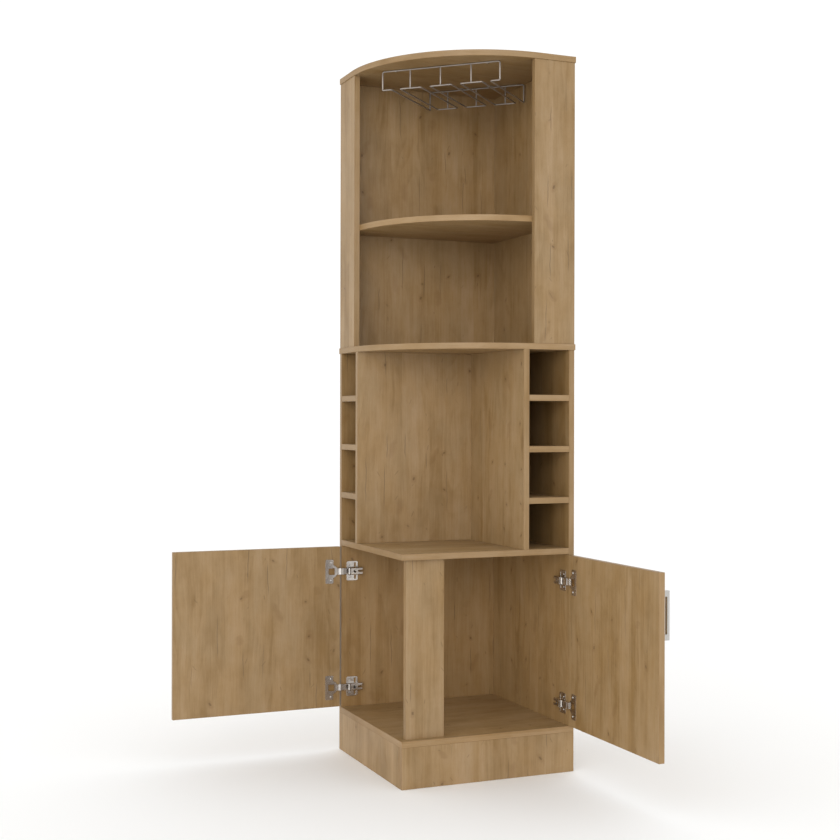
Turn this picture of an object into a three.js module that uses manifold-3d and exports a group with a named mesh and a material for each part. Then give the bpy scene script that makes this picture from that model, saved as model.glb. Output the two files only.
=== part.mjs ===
// Corner bar cabinet, modelled in millimetres with +Z up.
// The origin is on the floor at the outer back corner, where the two room walls meet. The cabinet fills
// the quadrant of negative X and negative Y. Its right face looks along -Y and its left face along -X.
// At rest both doors stand open at a right angle to the face that they close.

import * as THREE from 'three';
import { mergeVertices } from 'three/addons/utils/BufferGeometryUtils.js';
import Module from 'manifold-3d';

// Carcass
const side = 464;
const board = 15;
const plinthHeight = 100;
const doorZone = 433;
const bottleZone = 498;
const glassZone = 709;
const nicheHeight = 304;
const shelfLip = 2;
const shelfRounding = 370;
const cheekWidth = 113;
const cubbyWidth = 111;
const cubbyRows = 4;
const postWidth = 100;
const postRelief = 1;

// Doors
const doorSideGap = 2;
const doorMeetGap = 2;
const doorTopGap = 3;
const doorFootGap = 2.5;
const pivotDepth = 4.5;
const pivotShare = 0.5;

// Handles
const handleLength = 113;
const handleProjection = 27;
const handleBar = 6.5;
const handleWidth = 10;
const handleFoot = 14;
const handleEdge = 28;
const handleTop = 44;

// Cup hinges
const upperHingeDrop = 66;
const lowerHingeRise = 51.5;
const plateSetback = 14;
const plateWidth = 32;
const plateHeight = 52;
const plateThickness = 1.6;
const plateCorner = 4;
const plateScrewLine = 37.8;
const plateHoleLine = 22.3;
const plateScrewSpacing = 32;
const plateSlotLength = 12;
const plateSlotWidth = 5;
const plateHoleRadius = 2;
const armSetback = 16.8;
const armLength = 38;
const armWidth = 20;
const armWall = 1.5;
const armFrontHeight = 13.9;
const armTailHeight = 12.4;
const armWebSetback = 2.2;
const armSlotWidth = 5.6;
const armSlotLength = 13;
const armScrewLine = 25.3;
const armScrewRadius = 2;
const armWindowLine = 33.5;
const armWindowRadius = 4.5;
const linkPinHeight = 9.5;
const linkPinDepth = 20;
const linkOverlap = 2.5;
const linkThickness = 2.4;
const linkEyeRadius = 3.2;
const pinRadius = 1.6;
const cupRadius = 17.5;
const cupDepth = 11;
const cupWall = 1.2;
const cupEdge = 24;
const flangeThickness = 1.2;
const flangeWidth = 22;
const flangeHeight = 64;
const flangeCorner = 3;
const flangeOffset = 6;
const flangeScrewSpacing = 48;
const flangeScrewOffset = 1.5;
const flangeScrewRadius = 2.6;
const cupOpening = 17;

// Stemware rack
const wireRadius = 2;
const rackSetback = 84;
const rackWallGap = 5.5;
const rackPitch = 83.5;
const rackDrop = 47.5;
const loopWidth = 58;
const endChannel = 23.3;
const frontStep = 25;
const tabLength = 17;
const tabWidth = 12;
const tabThickness = 1.6;
const tabFrontShare = 0.79;
const tabRearShare = 0.5;
const tabHoleRadius = 2.3;
const rackScrewRadius = 1.7;
const rackScrewLength = 10;
const rackScrewHeadRadius = 3.6;
const rackScrewHeadHeight = 2;

// Working clearances and cut allowances
const fit = 0.3;
const overrun = 1;

// Facets of the round pieces
const roundingSteps = 48;
const cupSides = 36;
const wireSides = 12;
const smallSides = 20;
const cornerSteps = 5;

// Levels, from the floor up
const baseFloor = plinthHeight + board;
const counterUnder = baseFloor + doorZone;
const counterTop = counterUnder + board;
const midUnder = counterTop + bottleZone;
const midTop = midUnder + board;
const upperUnder = midTop + nicheHeight;
const upperTop = upperUnder + board;
const topUnder = midTop + glassZone;
const topTop = topUnder + board;

// Planes shared by both halves of the square plan
const face = -side;
const wallFace = -board;
const cubbyEdge = wallFace - cubbyWidth;
const bayFace = cubbyEdge - board;
const behindFace = face + board;
const roundingCentre = face - shelfLip + shelfRounding;

const wasm = await Module();
wasm.setup();

const oakColour = 0xcda878;
const steelColour = 0xb9bcc0;
const wireColour = 0xd4d6da;
const handleColour = 0xc4c5c7;

/** Oak-faced particle board. */
function oak() {
  return new THREE.MeshStandardMaterial({ color: oakColour, roughness: 0.55, metalness: 0 });
}

/** Nickel-plated pressed steel of the hinges. */
function hingeSteel() {
  return new THREE.MeshStandardMaterial({ color: steelColour, roughness: 0.3, metalness: 1 });
}

/** Chromed wire of the rack. */
function chromedWire() {
  return new THREE.MeshStandardMaterial({ color: wireColour, roughness: 0.18, metalness: 1 });
}

/** Satin aluminium of the door handles. */
function satinAluminium() {
  return new THREE.MeshStandardMaterial({ color: handleColour, roughness: 0.35, metalness: 1 });
}

/** Makes a solid that can be joined and cut out of a closed geometry. */
function solidOf(geometry) {
  const bare = geometry.clone();
  bare.deleteAttribute('normal');
  bare.deleteAttribute('uv');
  const merged = mergeVertices(bare);
  return new wasm.Manifold(new wasm.Mesh({
    numProp: 3,
    vertProperties: new Float32Array(merged.attributes.position.array),
    triVerts: new Uint32Array(merged.index.array),
  }));
}

/** Gives a joined or cut solid back as a geometry. */
function geometryOf(solid) {
  const { vertProperties, triVerts } = solid.getMesh();
  const geometry = new THREE.BufferGeometry();
  geometry.setAttribute('position', new THREE.BufferAttribute(vertProperties, 3));
  geometry.setIndex(new THREE.BufferAttribute(triVerts, 1));
  geometry.computeVertexNormals();
  return geometry;
}

/** A box between two opposite corners. */
function boxBetween([x0, y0, z0], [x1, y1, z1]) {
  const box = new THREE.BoxGeometry(x1 - x0, y1 - y0, z1 - z0);
  return box.translate((x0 + x1) / 2, (y0 + y1) / 2, (z0 + z1) / 2);
}

/** A round bar from one point to another, its flats the same way round on parallel bars. */
function barBetween(from, to, radius, facets) {
  const start = new THREE.Vector3(...from);
  const along = new THREE.Vector3(...to).sub(start);
  const bar = new THREE.CylinderGeometry(radius, radius, along.length(), facets);
  const upward = new THREE.Vector3(0, 1, 0);
  const turn = new THREE.Quaternion().setFromUnitVectors(upward, along.clone().normalize());
  return bar.applyQuaternion(turn).translate(...start.add(along.multiplyScalar(0.5)).toArray());
}

/** A ball that rounds the corner where two bars meet. */
function ballAt(centre, radius) {
  return new THREE.SphereGeometry(radius, wireSides, wireSides / 2).translate(...centre);
}

/** Joins geometries and cuts others out of the result. */
function joined(parts, cuts = []) {
  const body = parts.map(solidOf).reduce((whole, part) => whole.add(part));
  return geometryOf(cuts.map(solidOf).reduce((whole, cut) => whole.subtract(cut), body));
}

/** A flat outline in X and Y, pushed up from a level by a height. */
function slab(outline, level, height) {
  const shape = new THREE.ExtrudeGeometry(outline, { depth: height, bevelEnabled: false });
  return shape.translate(0, 0, level);
}

/** A rectangle with rounded corners, centred on the origin. */
function roundedRectangle(width, height, corner) {
  const outline = new THREE.Shape();
  const [halfWidth, halfHeight] = [width / 2 - corner, height / 2 - corner];
  outline.absarc(halfWidth, halfHeight, corner, 0, Math.PI / 2);
  outline.absarc(-halfWidth, halfHeight, corner, Math.PI / 2, Math.PI);
  outline.absarc(-halfWidth, -halfHeight, corner, Math.PI, 3 * Math.PI / 2);
  outline.absarc(halfWidth, -halfHeight, corner, 3 * Math.PI / 2, 2 * Math.PI);
  return outline;
}

/** A rounded plate standing against a wall: its thickness along local X, its width along Y. */
function wallPlate(width, height, corner, thickness, centre) {
  const outline = roundedRectangle(width, height, corner);
  const plate = new THREE.ExtrudeGeometry(outline, {
    depth: thickness, bevelEnabled: false, curveSegments: cornerSteps,
  });
  const upright = new THREE.Matrix4().makeBasis(
    new THREE.Vector3(0, 1, 0), new THREE.Vector3(0, 0, 1), new THREE.Vector3(1, 0, 0),
  );
  return plate.applyMatrix4(upright).translate(...centre);
}

/** Moves a geometry into a frame, turning its faces back outwards if the frame mirrors. */
function placed(geometry, frame) {
  const moved = mergeVertices(geometry.clone().deleteAttribute('normal').deleteAttribute('uv'));
  moved.applyMatrix4(frame);
  if (frame.determinant() < 0) {
    moved.index.array.reverse();
  }
  moved.computeVertexNormals();
  return moved;
}

const cabinet = new THREE.Group();

/** Adds one named piece to the cabinet. */
function addPiece(name, geometry, material) {
  const piece = new THREE.Mesh(geometry, material);
  piece.name = name;
  cabinet.add(piece);
}

/** Adds a plain rectangular board between two opposite corners. */
function addBoard(name, from, to) {
  addPiece(name, boxBetween(from, to), oak());
}

// The outline of the top and of the middle shelf: a square whose room-side corner is rounded.
function roundedShelfOutline() {
  const outer = face - shelfLip;
  const centre = roundingCentre;
  const outline = new THREE.Shape();
  outline.moveTo(shelfLip, shelfLip);
  outline.lineTo(outer, shelfLip);
  outline.lineTo(outer, centre);
  for (let step = 1; step <= roundingSteps; step += 1) {
    const angle = Math.PI + (Math.PI / 2) * (step / roundingSteps);
    outline.lineTo(centre + shelfRounding * Math.cos(angle), centre + shelfRounding * Math.sin(angle));
  }
  outline.lineTo(shelfLip, outer);
  return outline;
}

// The outline of the upper shelf: it fills the space between the walls and the cheeks, and its curve
// runs from the inner front corner of one cheek to that of the other, about the same centre.
function upperShelfOutline() {
  const centre = roundingCentre;
  const [along, across] = [behindFace - centre, -cheekWidth - centre];
  const radius = Math.hypot(along, across);
  const lead = Math.atan2(-across, -along);
  const sweep = Math.PI / 2 - 2 * lead;
  const outline = new THREE.Shape();
  outline.moveTo(wallFace, wallFace);
  outline.lineTo(behindFace, wallFace);
  for (let step = 0; step <= roundingSteps; step += 1) {
    const angle = Math.PI + lead + sweep * (step / roundingSteps);
    outline.lineTo(centre + radius * Math.cos(angle), centre + radius * Math.sin(angle));
  }
  outline.lineTo(wallFace, behindFace);
  return outline;
}

// Plinth and base
function addBase() {
  addBoard('plinth_rail_right', [face, face, 0], [0, behindFace, plinthHeight]);
  addBoard('plinth_rail_left', [face, behindFace, 0], [behindFace, 0, plinthHeight]);
  addBoard('plinth_rail_back_left', [behindFace, wallFace, 0], [0, 0, plinthHeight]);
  addBoard('plinth_rail_back_right', [wallFace, behindFace, 0], [0, wallFace, plinthHeight]);
  addBoard('bottom_board', [face, face, plinthHeight], [0, 0, baseFloor]);
  addBoard('wall_panel_left', [face, wallFace, baseFloor], [0, 0, midUnder]);
  addBoard('wall_panel_right', [wallFace, face, baseFloor], [0, wallFace, midUnder]);
  addBoard('counter_board', [face, face, counterUnder], [wallFace, wallFace, counterTop]);
  const post = behindFace + postRelief;
  addBoard('corner_post', [post, post, baseFloor], [post + postWidth, post + board, counterUnder]);
}

// Bottle zone: a bay open to the room between two columns of cubbies
function addBottleZone() {
  addBoard('bay_panel_left', [face, bayFace, counterTop], [cubbyEdge, cubbyEdge, midUnder]);
  addBoard('bay_panel_right', [bayFace, face, counterTop], [cubbyEdge, bayFace, midUnder]);
  const shelves = cubbyRows - 1;
  const clearHeight = (bottleZone - shelves * board) / cubbyRows;
  for (let row = 1; row <= shelves; row += 1) {
    const top = counterTop + row * (clearHeight + board);
    const under = top - board;
    addBoard(`cubby_shelf_left_${row}`, [face, cubbyEdge, under], [wallFace, wallFace, top]);
    addBoard(`cubby_shelf_right_${row}`, [cubbyEdge, face, under], [wallFace, cubbyEdge, top]);
  }
  addPiece('mid_shelf', slab(roundedShelfOutline(), midUnder, board), oak());
}

// Glass zone: two walls, two narrow cheeks and a curved shelf
function addGlassZone() {
  addBoard('upper_wall_left', [behindFace, wallFace, midTop], [0, 0, topUnder]);
  addBoard('upper_wall_right', [wallFace, behindFace, midTop], [0, wallFace, topUnder]);
  addBoard('cheek_left', [face, -cheekWidth, midTop], [behindFace, 0, topUnder]);
  addBoard('cheek_right', [-cheekWidth, face, midTop], [0, behindFace, topUnder]);
  addPiece('upper_shelf', slab(upperShelfOutline(), upperUnder, board), oak());
}

// The rack's own frame: X runs along its rails, Y towards the room corner, and Z starts at the underside
// of the top, less the fit that keeps the wires off the board. The front rail is set back from the top's
// rounded front, and the ends of the rear rail stay clear of the walls.
const rackFrame = new THREE.Matrix4().makeRotationZ(-Math.PI / 4)
  .multiply(new THREE.Matrix4().makeTranslation(0, 0, topUnder - fit));
const railLevel = -wireRadius;
const loopLevel = railLevel - rackDrop;
const rearHalfSpan = rackPitch + loopWidth / 2 + endChannel;
const frontHalfSpan = rearHalfSpan + frontStep;
const rails = {
  front: {
    y: rackSetback - shelfRounding + Math.SQRT2 * roundingCentre,
    halfSpan: frontHalfSpan,
    tabX: frontHalfSpan * tabFrontShare,
    tabSide: 1,
  },
  rear: {
    y: -Math.SQRT2 * (board + rackWallGap) - rearHalfSpan,
    halfSpan: rearHalfSpan,
    tabX: rackPitch * tabRearShare,
    tabSide: -1,
  },
};

/** The middle of each screw tab, in the rack's frame. */
function tabCentres(row) {
  const { y, tabX, tabSide } = rails[row];
  const middle = y + tabSide * tabWidth / 2;
  return [[-tabX, middle], [tabX, middle]];
}

// One rail of the rack with its five droppers and its two screw tabs
function addRackRail(row) {
  const { y, halfSpan } = rails[row];
  const places = [-halfSpan, -rackPitch, 0, rackPitch, halfSpan];
  const foot = loopLevel + wireRadius + fit;
  const parts = [barBetween([-halfSpan, y, railLevel], [halfSpan, y, railLevel], wireRadius, wireSides)];
  const cuts = [];
  for (const x of places) {
    parts.push(barBetween([x, y, railLevel], [x, y, foot], wireRadius, wireSides));
  }
  parts.push(ballAt([-halfSpan, y, railLevel], wireRadius), ballAt([halfSpan, y, railLevel], wireRadius));
  for (const [x, middle] of tabCentres(row)) {
    parts.push(boxBetween(
      [x - tabLength / 2, middle - tabWidth / 2, -tabThickness],
      [x + tabLength / 2, middle + tabWidth / 2, 0],
    ));
    const under = -tabThickness - overrun;
    cuts.push(barBetween([x, middle, under], [x, middle, overrun], tabHoleRadius, smallSides));
  }
  addPiece(`rack_${row}_rail`, placed(joined(parts, cuts), rackFrame), chromedWire());
}

// A closed wire loop that carries one side of two glass channels
function addRackLoop(name, x) {
  const corners = [
    [x - loopWidth / 2, rails.front.y], [x + loopWidth / 2, rails.front.y],
    [x + loopWidth / 2, rails.rear.y], [x - loopWidth / 2, rails.rear.y],
  ].map(([cornerX, cornerY]) => [cornerX, cornerY, loopLevel]);
  const parts = corners.flatMap((corner, index) => [
    barBetween(corner, corners[(index + 1) % corners.length], wireRadius, wireSides),
    ballAt(corner, wireRadius),
  ]);
  addPiece(name, placed(joined(parts), rackFrame), chromedWire());
}

// The wire at each end of the rack, stepped in from the front rail's end to the rear rail's end
function addRackSide(name, hand) {
  const [outer, inner] = [hand * frontHalfSpan, hand * rearHalfSpan];
  const route = [[outer, rails.front.y], [inner, rails.front.y], [inner, rails.rear.y]]
    .map(([x, y]) => [x, y, loopLevel]);
  const parts = [
    barBetween(route[0], route[1], wireRadius, wireSides),
    barBetween(route[1], route[2], wireRadius, wireSides),
    ...route.map((point) => ballAt(point, wireRadius)),
  ];
  addPiece(name, placed(joined(parts), rackFrame), chromedWire());
}

// A pan-head screw through a tab into the top board
function addRackScrew(name, [x, y]) {
  const top = -tabThickness - fit;
  const under = top - rackScrewHeadHeight;
  const head = barBetween([x, y, under], [x, y, top], rackScrewHeadRadius, smallSides);
  const shank = barBetween([x, y, (under + top) / 2], [x, y, rackScrewLength], rackScrewRadius, wireSides);
  addPiece(name, placed(joined([head, shank]), rackFrame), hingeSteel());
}

// Top board, with a pilot hole for each screw of the rack
function addTopBoard() {
  const depth = rackScrewLength + 2 * fit;
  const pilots = ['front', 'rear'].flatMap(tabCentres).map(([x, y]) => placed(
    barBetween([x, y, -overrun], [x, y, depth], rackScrewRadius + fit, wireSides), rackFrame,
  ));
  addPiece('top_board', joined([slab(roundedShelfOutline(), topUnder, board)], pilots), oak());
}

function addRack() {
  addRackRail('front');
  addRackRail('rear');
  [-rackPitch, 0, rackPitch].forEach((x, index) => addRackLoop(`rack_loop_${index + 1}`, x));
  addRackSide('rack_side_left', -1);
  addRackSide('rack_side_right', 1);
  for (const row of ['front', 'rear']) {
    tabCentres(row).forEach((centre, index) => addRackScrew(`rack_screw_${row}_${index + 1}`, centre));
  }
}

// Each door side has a frame of its own: local X stands off the wall panel's inner face into the cabinet,
// local Y runs back from the face plane along the wall panel, and Z is up.
const doorSides = [
  {
    hand: 'left',
    frame: new THREE.Matrix4().makeBasis(
      new THREE.Vector3(0, -1, 0), new THREE.Vector3(1, 0, 0), new THREE.Vector3(0, 0, 1),
    ).setPosition(face, wallFace, 0),
    doorWidth: side - board - doorSideGap,
  },
  {
    hand: 'right',
    frame: new THREE.Matrix4().makeBasis(
      new THREE.Vector3(-1, 0, 0), new THREE.Vector3(0, 1, 0), new THREE.Vector3(0, 0, 1),
    ).setPosition(wallFace, face, 0),
    doorWidth: side - 2 * board - doorSideGap - doorMeetGap,
  },
];

// The door turns about an upright axis inside the wall panel's front edge. Its places at rest follow
// from the closed door by a quarter turn about that axis.
const pivotHeight = -board * pivotShare;
const openFace = pivotHeight + (board - pivotDepth);
const openOuter = openFace - board;
const openEnd = pivotDepth - (doorSideGap - pivotHeight);
const doorFoot = baseFloor + doorFootGap;
const doorHead = counterUnder - doorTopGap;
const hingeLevels = { upper: doorHead - upperHingeDrop, lower: doorFoot + lowerHingeRise };
const cupCentre = openEnd - cupEdge;

/** The mortise that a hinge cup needs in the door's inner face. */
function cupMortise(level) {
  return barBetween([openFace - cupDepth - fit, cupCentre, level], [openFace + overrun, cupCentre, level],
    cupRadius + 2 * fit, cupSides);
}

function addDoor({ hand, frame, doorWidth }) {
  const leaf = boxBetween([openOuter, openEnd - doorWidth, doorFoot], [openFace, openEnd, doorHead]);
  const door = joined([leaf], Object.values(hingeLevels).map(cupMortise));
  addPiece(`door_${hand}`, placed(door, frame), oak());
}

// A bridge handle: a bar on two feet, upright near the door's free edge
function addHandle({ hand, frame, doorWidth }) {
  const outline = new THREE.Shape();
  const [inner, outer] = [handleProjection - handleBar, handleProjection];
  const points = [
    [0, 0], [outer, 0], [outer, handleLength], [0, handleLength],
    [0, handleLength - handleFoot], [inner, handleLength - handleFoot],
    [inner, handleFoot], [0, handleFoot],
  ];
  outline.setFromPoints(points.map(([x, y]) => new THREE.Vector2(x, y)));
  const upright = new THREE.Matrix4().makeBasis(
    new THREE.Vector3(-1, 0, 0), new THREE.Vector3(0, 0, 1), new THREE.Vector3(0, 1, 0),
  );
  const bar = new THREE.ExtrudeGeometry(outline, { depth: handleWidth, bevelEnabled: false });
  const place = new THREE.Matrix4().makeTranslation(
    openOuter, openEnd - doorWidth + handleEdge - handleWidth / 2, doorHead - handleTop - handleLength,
  );
  addPiece(`handle_${hand}`, placed(bar, frame.clone().multiply(place).multiply(upright)), satinAluminium());
}

// Mounting plate, screwed to the wall panel
function hingePlate(level) {
  const middle = plateSetback + plateWidth / 2;
  const plate = wallPlate(plateWidth, plateHeight, plateCorner, plateThickness, [0, middle, level]);
  const slotCorner = plateSlotWidth / 2 - fit;
  const through = plateThickness + 2 * overrun;
  const cuts = [];
  for (const end of [-1, 1]) {
    const height = level + end * plateScrewSpacing / 2;
    cuts.push(wallPlate(plateSlotWidth, plateSlotLength, slotCorner, through, [-overrun, plateScrewLine, height]));
    cuts.push(barBetween([-overrun, plateHoleLine, height], [through, plateHoleLine, height],
      plateHoleRadius, smallSides));
  }
  return joined([plate], cuts);
}

/** A round bar along the axis of the link's pin, centred on the hinge. */
function pinBar(level, length, radius) {
  return barBetween([linkPinHeight, linkPinDepth, level - length / 2],
    [linkPinHeight, linkPinDepth, level + length / 2], radius, smallSides);
}

// Arm: a channel pressed from sheet, open at the front for the link and slotted at the tail
function hingeArm(level) {
  const [front, tail] = [armSetback, armSetback + armLength];
  const shoulder = linkPinDepth + armWebSetback;
  const profile = new THREE.Shape();
  profile.setFromPoints([
    [plateThickness, front], [plateThickness + armFrontHeight, front],
    [plateThickness + armFrontHeight, shoulder], [plateThickness + armTailHeight, tail],
    [plateThickness, tail],
  ].map(([x, y]) => new THREE.Vector2(x, y)));
  const body = slab(profile, level - armWidth / 2, armWidth);
  const channel = new THREE.Shape();
  channel.setFromPoints([
    [plateThickness - overrun, front - overrun], [plateThickness + armFrontHeight - armWall, front - overrun],
    [plateThickness + armFrontHeight - armWall, shoulder], [plateThickness + armTailHeight - armWall, tail],
    [plateThickness + armTailHeight - armWall, tail + overrun], [plateThickness - overrun, tail + overrun],
  ].map(([x, y]) => new THREE.Vector2(x, y)));
  const inside = armWidth - 2 * armWall;
  const top = plateThickness + armFrontHeight + overrun;
  const cuts = [
    slab(channel, level - inside / 2, inside),
    boxBetween([0, front - overrun, level - inside / 2], [top, shoulder, level + inside / 2]),
    boxBetween([0, tail - armSlotLength, level - armSlotWidth / 2],
      [top, tail + overrun, level + armSlotWidth / 2]),
    barBetween([0, armScrewLine, level], [top, armScrewLine, level], armScrewRadius, smallSides),
    barBetween([0, armWindowLine, level], [top, armWindowLine, level], armWindowRadius, smallSides),
    pinBar(level, armWidth + 2 * overrun, pinRadius + fit),
  ];
  return joined([body], cuts);
}

// Link: a flat bar with an eye round the pin; its free end lies on the rim of the cup
function hingeLink(level) {
  const width = armWidth - 2 * armWall - 2 * fit;
  const tipHeight = openFace + flangeThickness + fit + linkThickness / 2;
  const tipDepth = cupCentre + cupRadius - linkOverlap;
  const length = Math.hypot(linkPinHeight - tipHeight, linkPinDepth - tipDepth);
  const bar = boxBetween([-linkThickness / 2, 0, -width / 2], [linkThickness / 2, length, width / 2]);
  const swing = Math.atan2(linkPinHeight - tipHeight, tipDepth - linkPinDepth);
  bar.rotateZ(swing).translate(linkPinHeight, linkPinDepth, level);
  return joined([bar, pinBar(level, width, linkEyeRadius)], [pinBar(level, armWidth, pinRadius + fit)]);
}

// Cup: a round shell let into the door, with a winged flange on the door's inner face
function hingeCup(level) {
  const floor = openFace - cupDepth;
  const lid = openFace + flangeThickness;
  const wings = wallPlate(flangeWidth, flangeHeight, flangeCorner, flangeThickness,
    [openFace, cupCentre - flangeOffset, level]);
  const rim = barBetween([openFace, cupCentre, level], [lid, cupCentre, level], cupRadius, cupSides);
  const shell = barBetween([floor, cupCentre, level], [lid, cupCentre, level], cupRadius, cupSides);
  const inside = cupRadius - cupWall;
  const cuts = [
    barBetween([floor + cupWall, cupCentre, level], [openFace, cupCentre, level], inside, cupSides),
    boxBetween([openFace - overrun, cupCentre - cupOpening / 2, level - cupOpening / 2],
      [lid + overrun, cupCentre + cupOpening / 2, level + cupOpening / 2]),
  ];
  for (const end of [-1, 1]) {
    const height = level + end * flangeScrewSpacing / 2;
    const line = cupCentre - flangeScrewOffset;
    cuts.push(barBetween([floor, line, height], [lid + overrun, line, height], flangeScrewRadius, smallSides));
  }
  return joined([wings, rim, shell], cuts);
}

function addHinge({ hand, frame }, position) {
  const level = hingeLevels[position];
  const pieces = {
    plate: hingePlate(level),
    arm: hingeArm(level),
    pin: pinBar(level, armWidth, pinRadius),
    link: hingeLink(level),
    cup: hingeCup(level),
  };
  for (const [piece, geometry] of Object.entries(pieces)) {
    addPiece(`hinge_${piece}_${hand}_${position}`, placed(geometry, frame), hingeSteel());
  }
}

addBase();
addBottleZone();
addGlassZone();
addTopBoard();
addRack();
for (const doorSide of doorSides) {
  addDoor(doorSide);
  addHandle(doorSide);
  for (const position of Object.keys(hingeLevels)) {
    addHinge(doorSide, position);
  }
}

export default cabinet;
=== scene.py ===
"""Corner bar cabinet in oak-faced board, dressed over its fixed frame.

Lengths are in metres and +Z is up. The room corner is at the origin, and the cabinet fills the quadrant of
negative X and negative Y: its right face looks along -Y and its left face along -X.
"""

from __future__ import annotations

import logging
import math
import random
from dataclasses import dataclass, field
from enum import Enum
from typing import Callable, Iterable, Sequence, Union

import bpy
from mathutils import Matrix, Vector


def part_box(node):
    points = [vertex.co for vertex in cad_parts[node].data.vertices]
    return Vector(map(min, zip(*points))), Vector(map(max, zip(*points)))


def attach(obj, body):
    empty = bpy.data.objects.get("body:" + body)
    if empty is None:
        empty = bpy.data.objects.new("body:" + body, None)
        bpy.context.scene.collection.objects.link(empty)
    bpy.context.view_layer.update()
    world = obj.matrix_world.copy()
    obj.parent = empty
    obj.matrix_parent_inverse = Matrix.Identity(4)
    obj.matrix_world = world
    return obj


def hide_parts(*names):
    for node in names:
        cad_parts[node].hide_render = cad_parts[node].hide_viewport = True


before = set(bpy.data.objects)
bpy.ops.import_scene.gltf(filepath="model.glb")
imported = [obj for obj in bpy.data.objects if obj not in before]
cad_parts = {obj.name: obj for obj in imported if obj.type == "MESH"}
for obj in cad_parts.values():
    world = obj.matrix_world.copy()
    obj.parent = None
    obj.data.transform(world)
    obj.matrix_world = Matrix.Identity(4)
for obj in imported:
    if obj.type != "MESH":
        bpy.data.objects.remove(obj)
log = logging.getLogger("corner_cabinet")

MM = 0.001
NEAR = 0.01 * MM
IMAGE_SIDE = 840

# The foil: its face marks, the angle below which it shades smooth in degrees, how far a face's sheet may be
# shifted in metres, how far boards differ in tone, and the slopes of the eased faces that hold a seam
FACE_MARKS = ("band", "seam", "tone", "warmth")
FOIL_ANGLE = 12.0
SHEET_SHIFTS = (0.3, 7.0)
SHEET_TONES = (0.98, 1.015)
SEAM_SLOPES = (0.1, 0.95)

# How much of a normal has to lie along an axis for its face to look that way, and to lie square to it
FACING = 0.9
SQUARE = 0.999

Amount = Union[float, "Value"]
Colour = tuple[float, float, float, float]
Ring = list[tuple[float, float]]
Run = Callable[[Vector, Vector], float]
Test = Callable[[Vector, Vector], bool]


class Slot(Enum):
    """The material slots of the record."""

    OAK = "oak_board"
    HINGE = "hinge_steel"
    WIRE = "chrome_wire"
    SATIN = "satin_metal"


class Grain(Enum):
    """The axis that the grain of a board's broad faces follows."""

    ALONG_X = 0
    ALONG_Y = 1
    UPRIGHT = 2


class Hand(Enum):
    """The two door sides of the cabinet."""

    LEFT = "left"
    RIGHT = "right"


# Materials


class Value:
    """A number or a vector inside a material, with Python's arithmetic on it."""

    def __init__(self, bench: "Bench", socket: bpy.types.NodeSocket) -> None:
        """Wraps a node's output socket.

        Args:
            bench: The bench that the node stands on.
            socket: The output socket.
        """
        self.bench = bench
        self.socket = socket

    def __add__(self, other: Amount) -> "Value":
        """Adds."""
        return self.bench.maths("ADD", self, other)

    def __radd__(self, other: Amount) -> "Value":
        """Adds, from the right."""
        return self.bench.maths("ADD", other, self)

    def __sub__(self, other: Amount) -> "Value":
        """Subtracts."""
        return self.bench.maths("SUBTRACT", self, other)

    def __rsub__(self, other: Amount) -> "Value":
        """Subtracts from a number."""
        return self.bench.maths("SUBTRACT", other, self)

    def __mul__(self, other: Amount) -> "Value":
        """Multiplies."""
        return self.bench.maths("MULTIPLY", self, other)

    def __rmul__(self, other: Amount) -> "Value":
        """Multiplies, from the right."""
        return self.bench.maths("MULTIPLY", other, self)

    def __truediv__(self, other: Amount) -> "Value":
        """Divides."""
        return self.bench.maths("DIVIDE", self, other)

    def __rtruediv__(self, other: Amount) -> "Value":
        """Divides a number."""
        return self.bench.maths("DIVIDE", other, self)

    def __abs__(self) -> "Value":
        """Drops the sign."""
        return self.bench.maths("ABSOLUTE", self)

    def ease(self, start: float, end: float) -> "Value":
        """Maps start to end smoothly to zero to one, and holds the ends beyond.

        Args:
            start: Where the mapping starts. It may be above end.
            end: Where it ends.

        Returns:
            The mapped value.
        """
        node = self.bench.add(
            "ShaderNodeMapRange", {"interpolation_type": "SMOOTHSTEP"},
            {"Value": self, "From Min": start, "From Max": end},
        )
        return Value(self.bench, node.outputs["Result"])


def paint(code: str) -> Colour:
    """Turns a screen colour into the linear colour that a shader reads.

    Args:
        code: The colour as six hexadecimal digits.

    Returns:
        Red, green, blue and alpha.
    """
    parts = [int(code[start:start + 2], 16) / 255 for start in (0, 2, 4)]
    linear = [part / 12.92 if part <= 0.04045 else ((part + 0.055) / 1.055) ** 2.4 for part in parts]
    return (*linear, 1.0)


def dulled(colour: Colour, share: float, blue_share: float) -> Colour:
    """Takes a colour down to a share of its red and green, and to another share of its blue."""
    red, green, blue, alpha = colour
    return (red * share, green * share, blue * blue_share, alpha)


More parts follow.
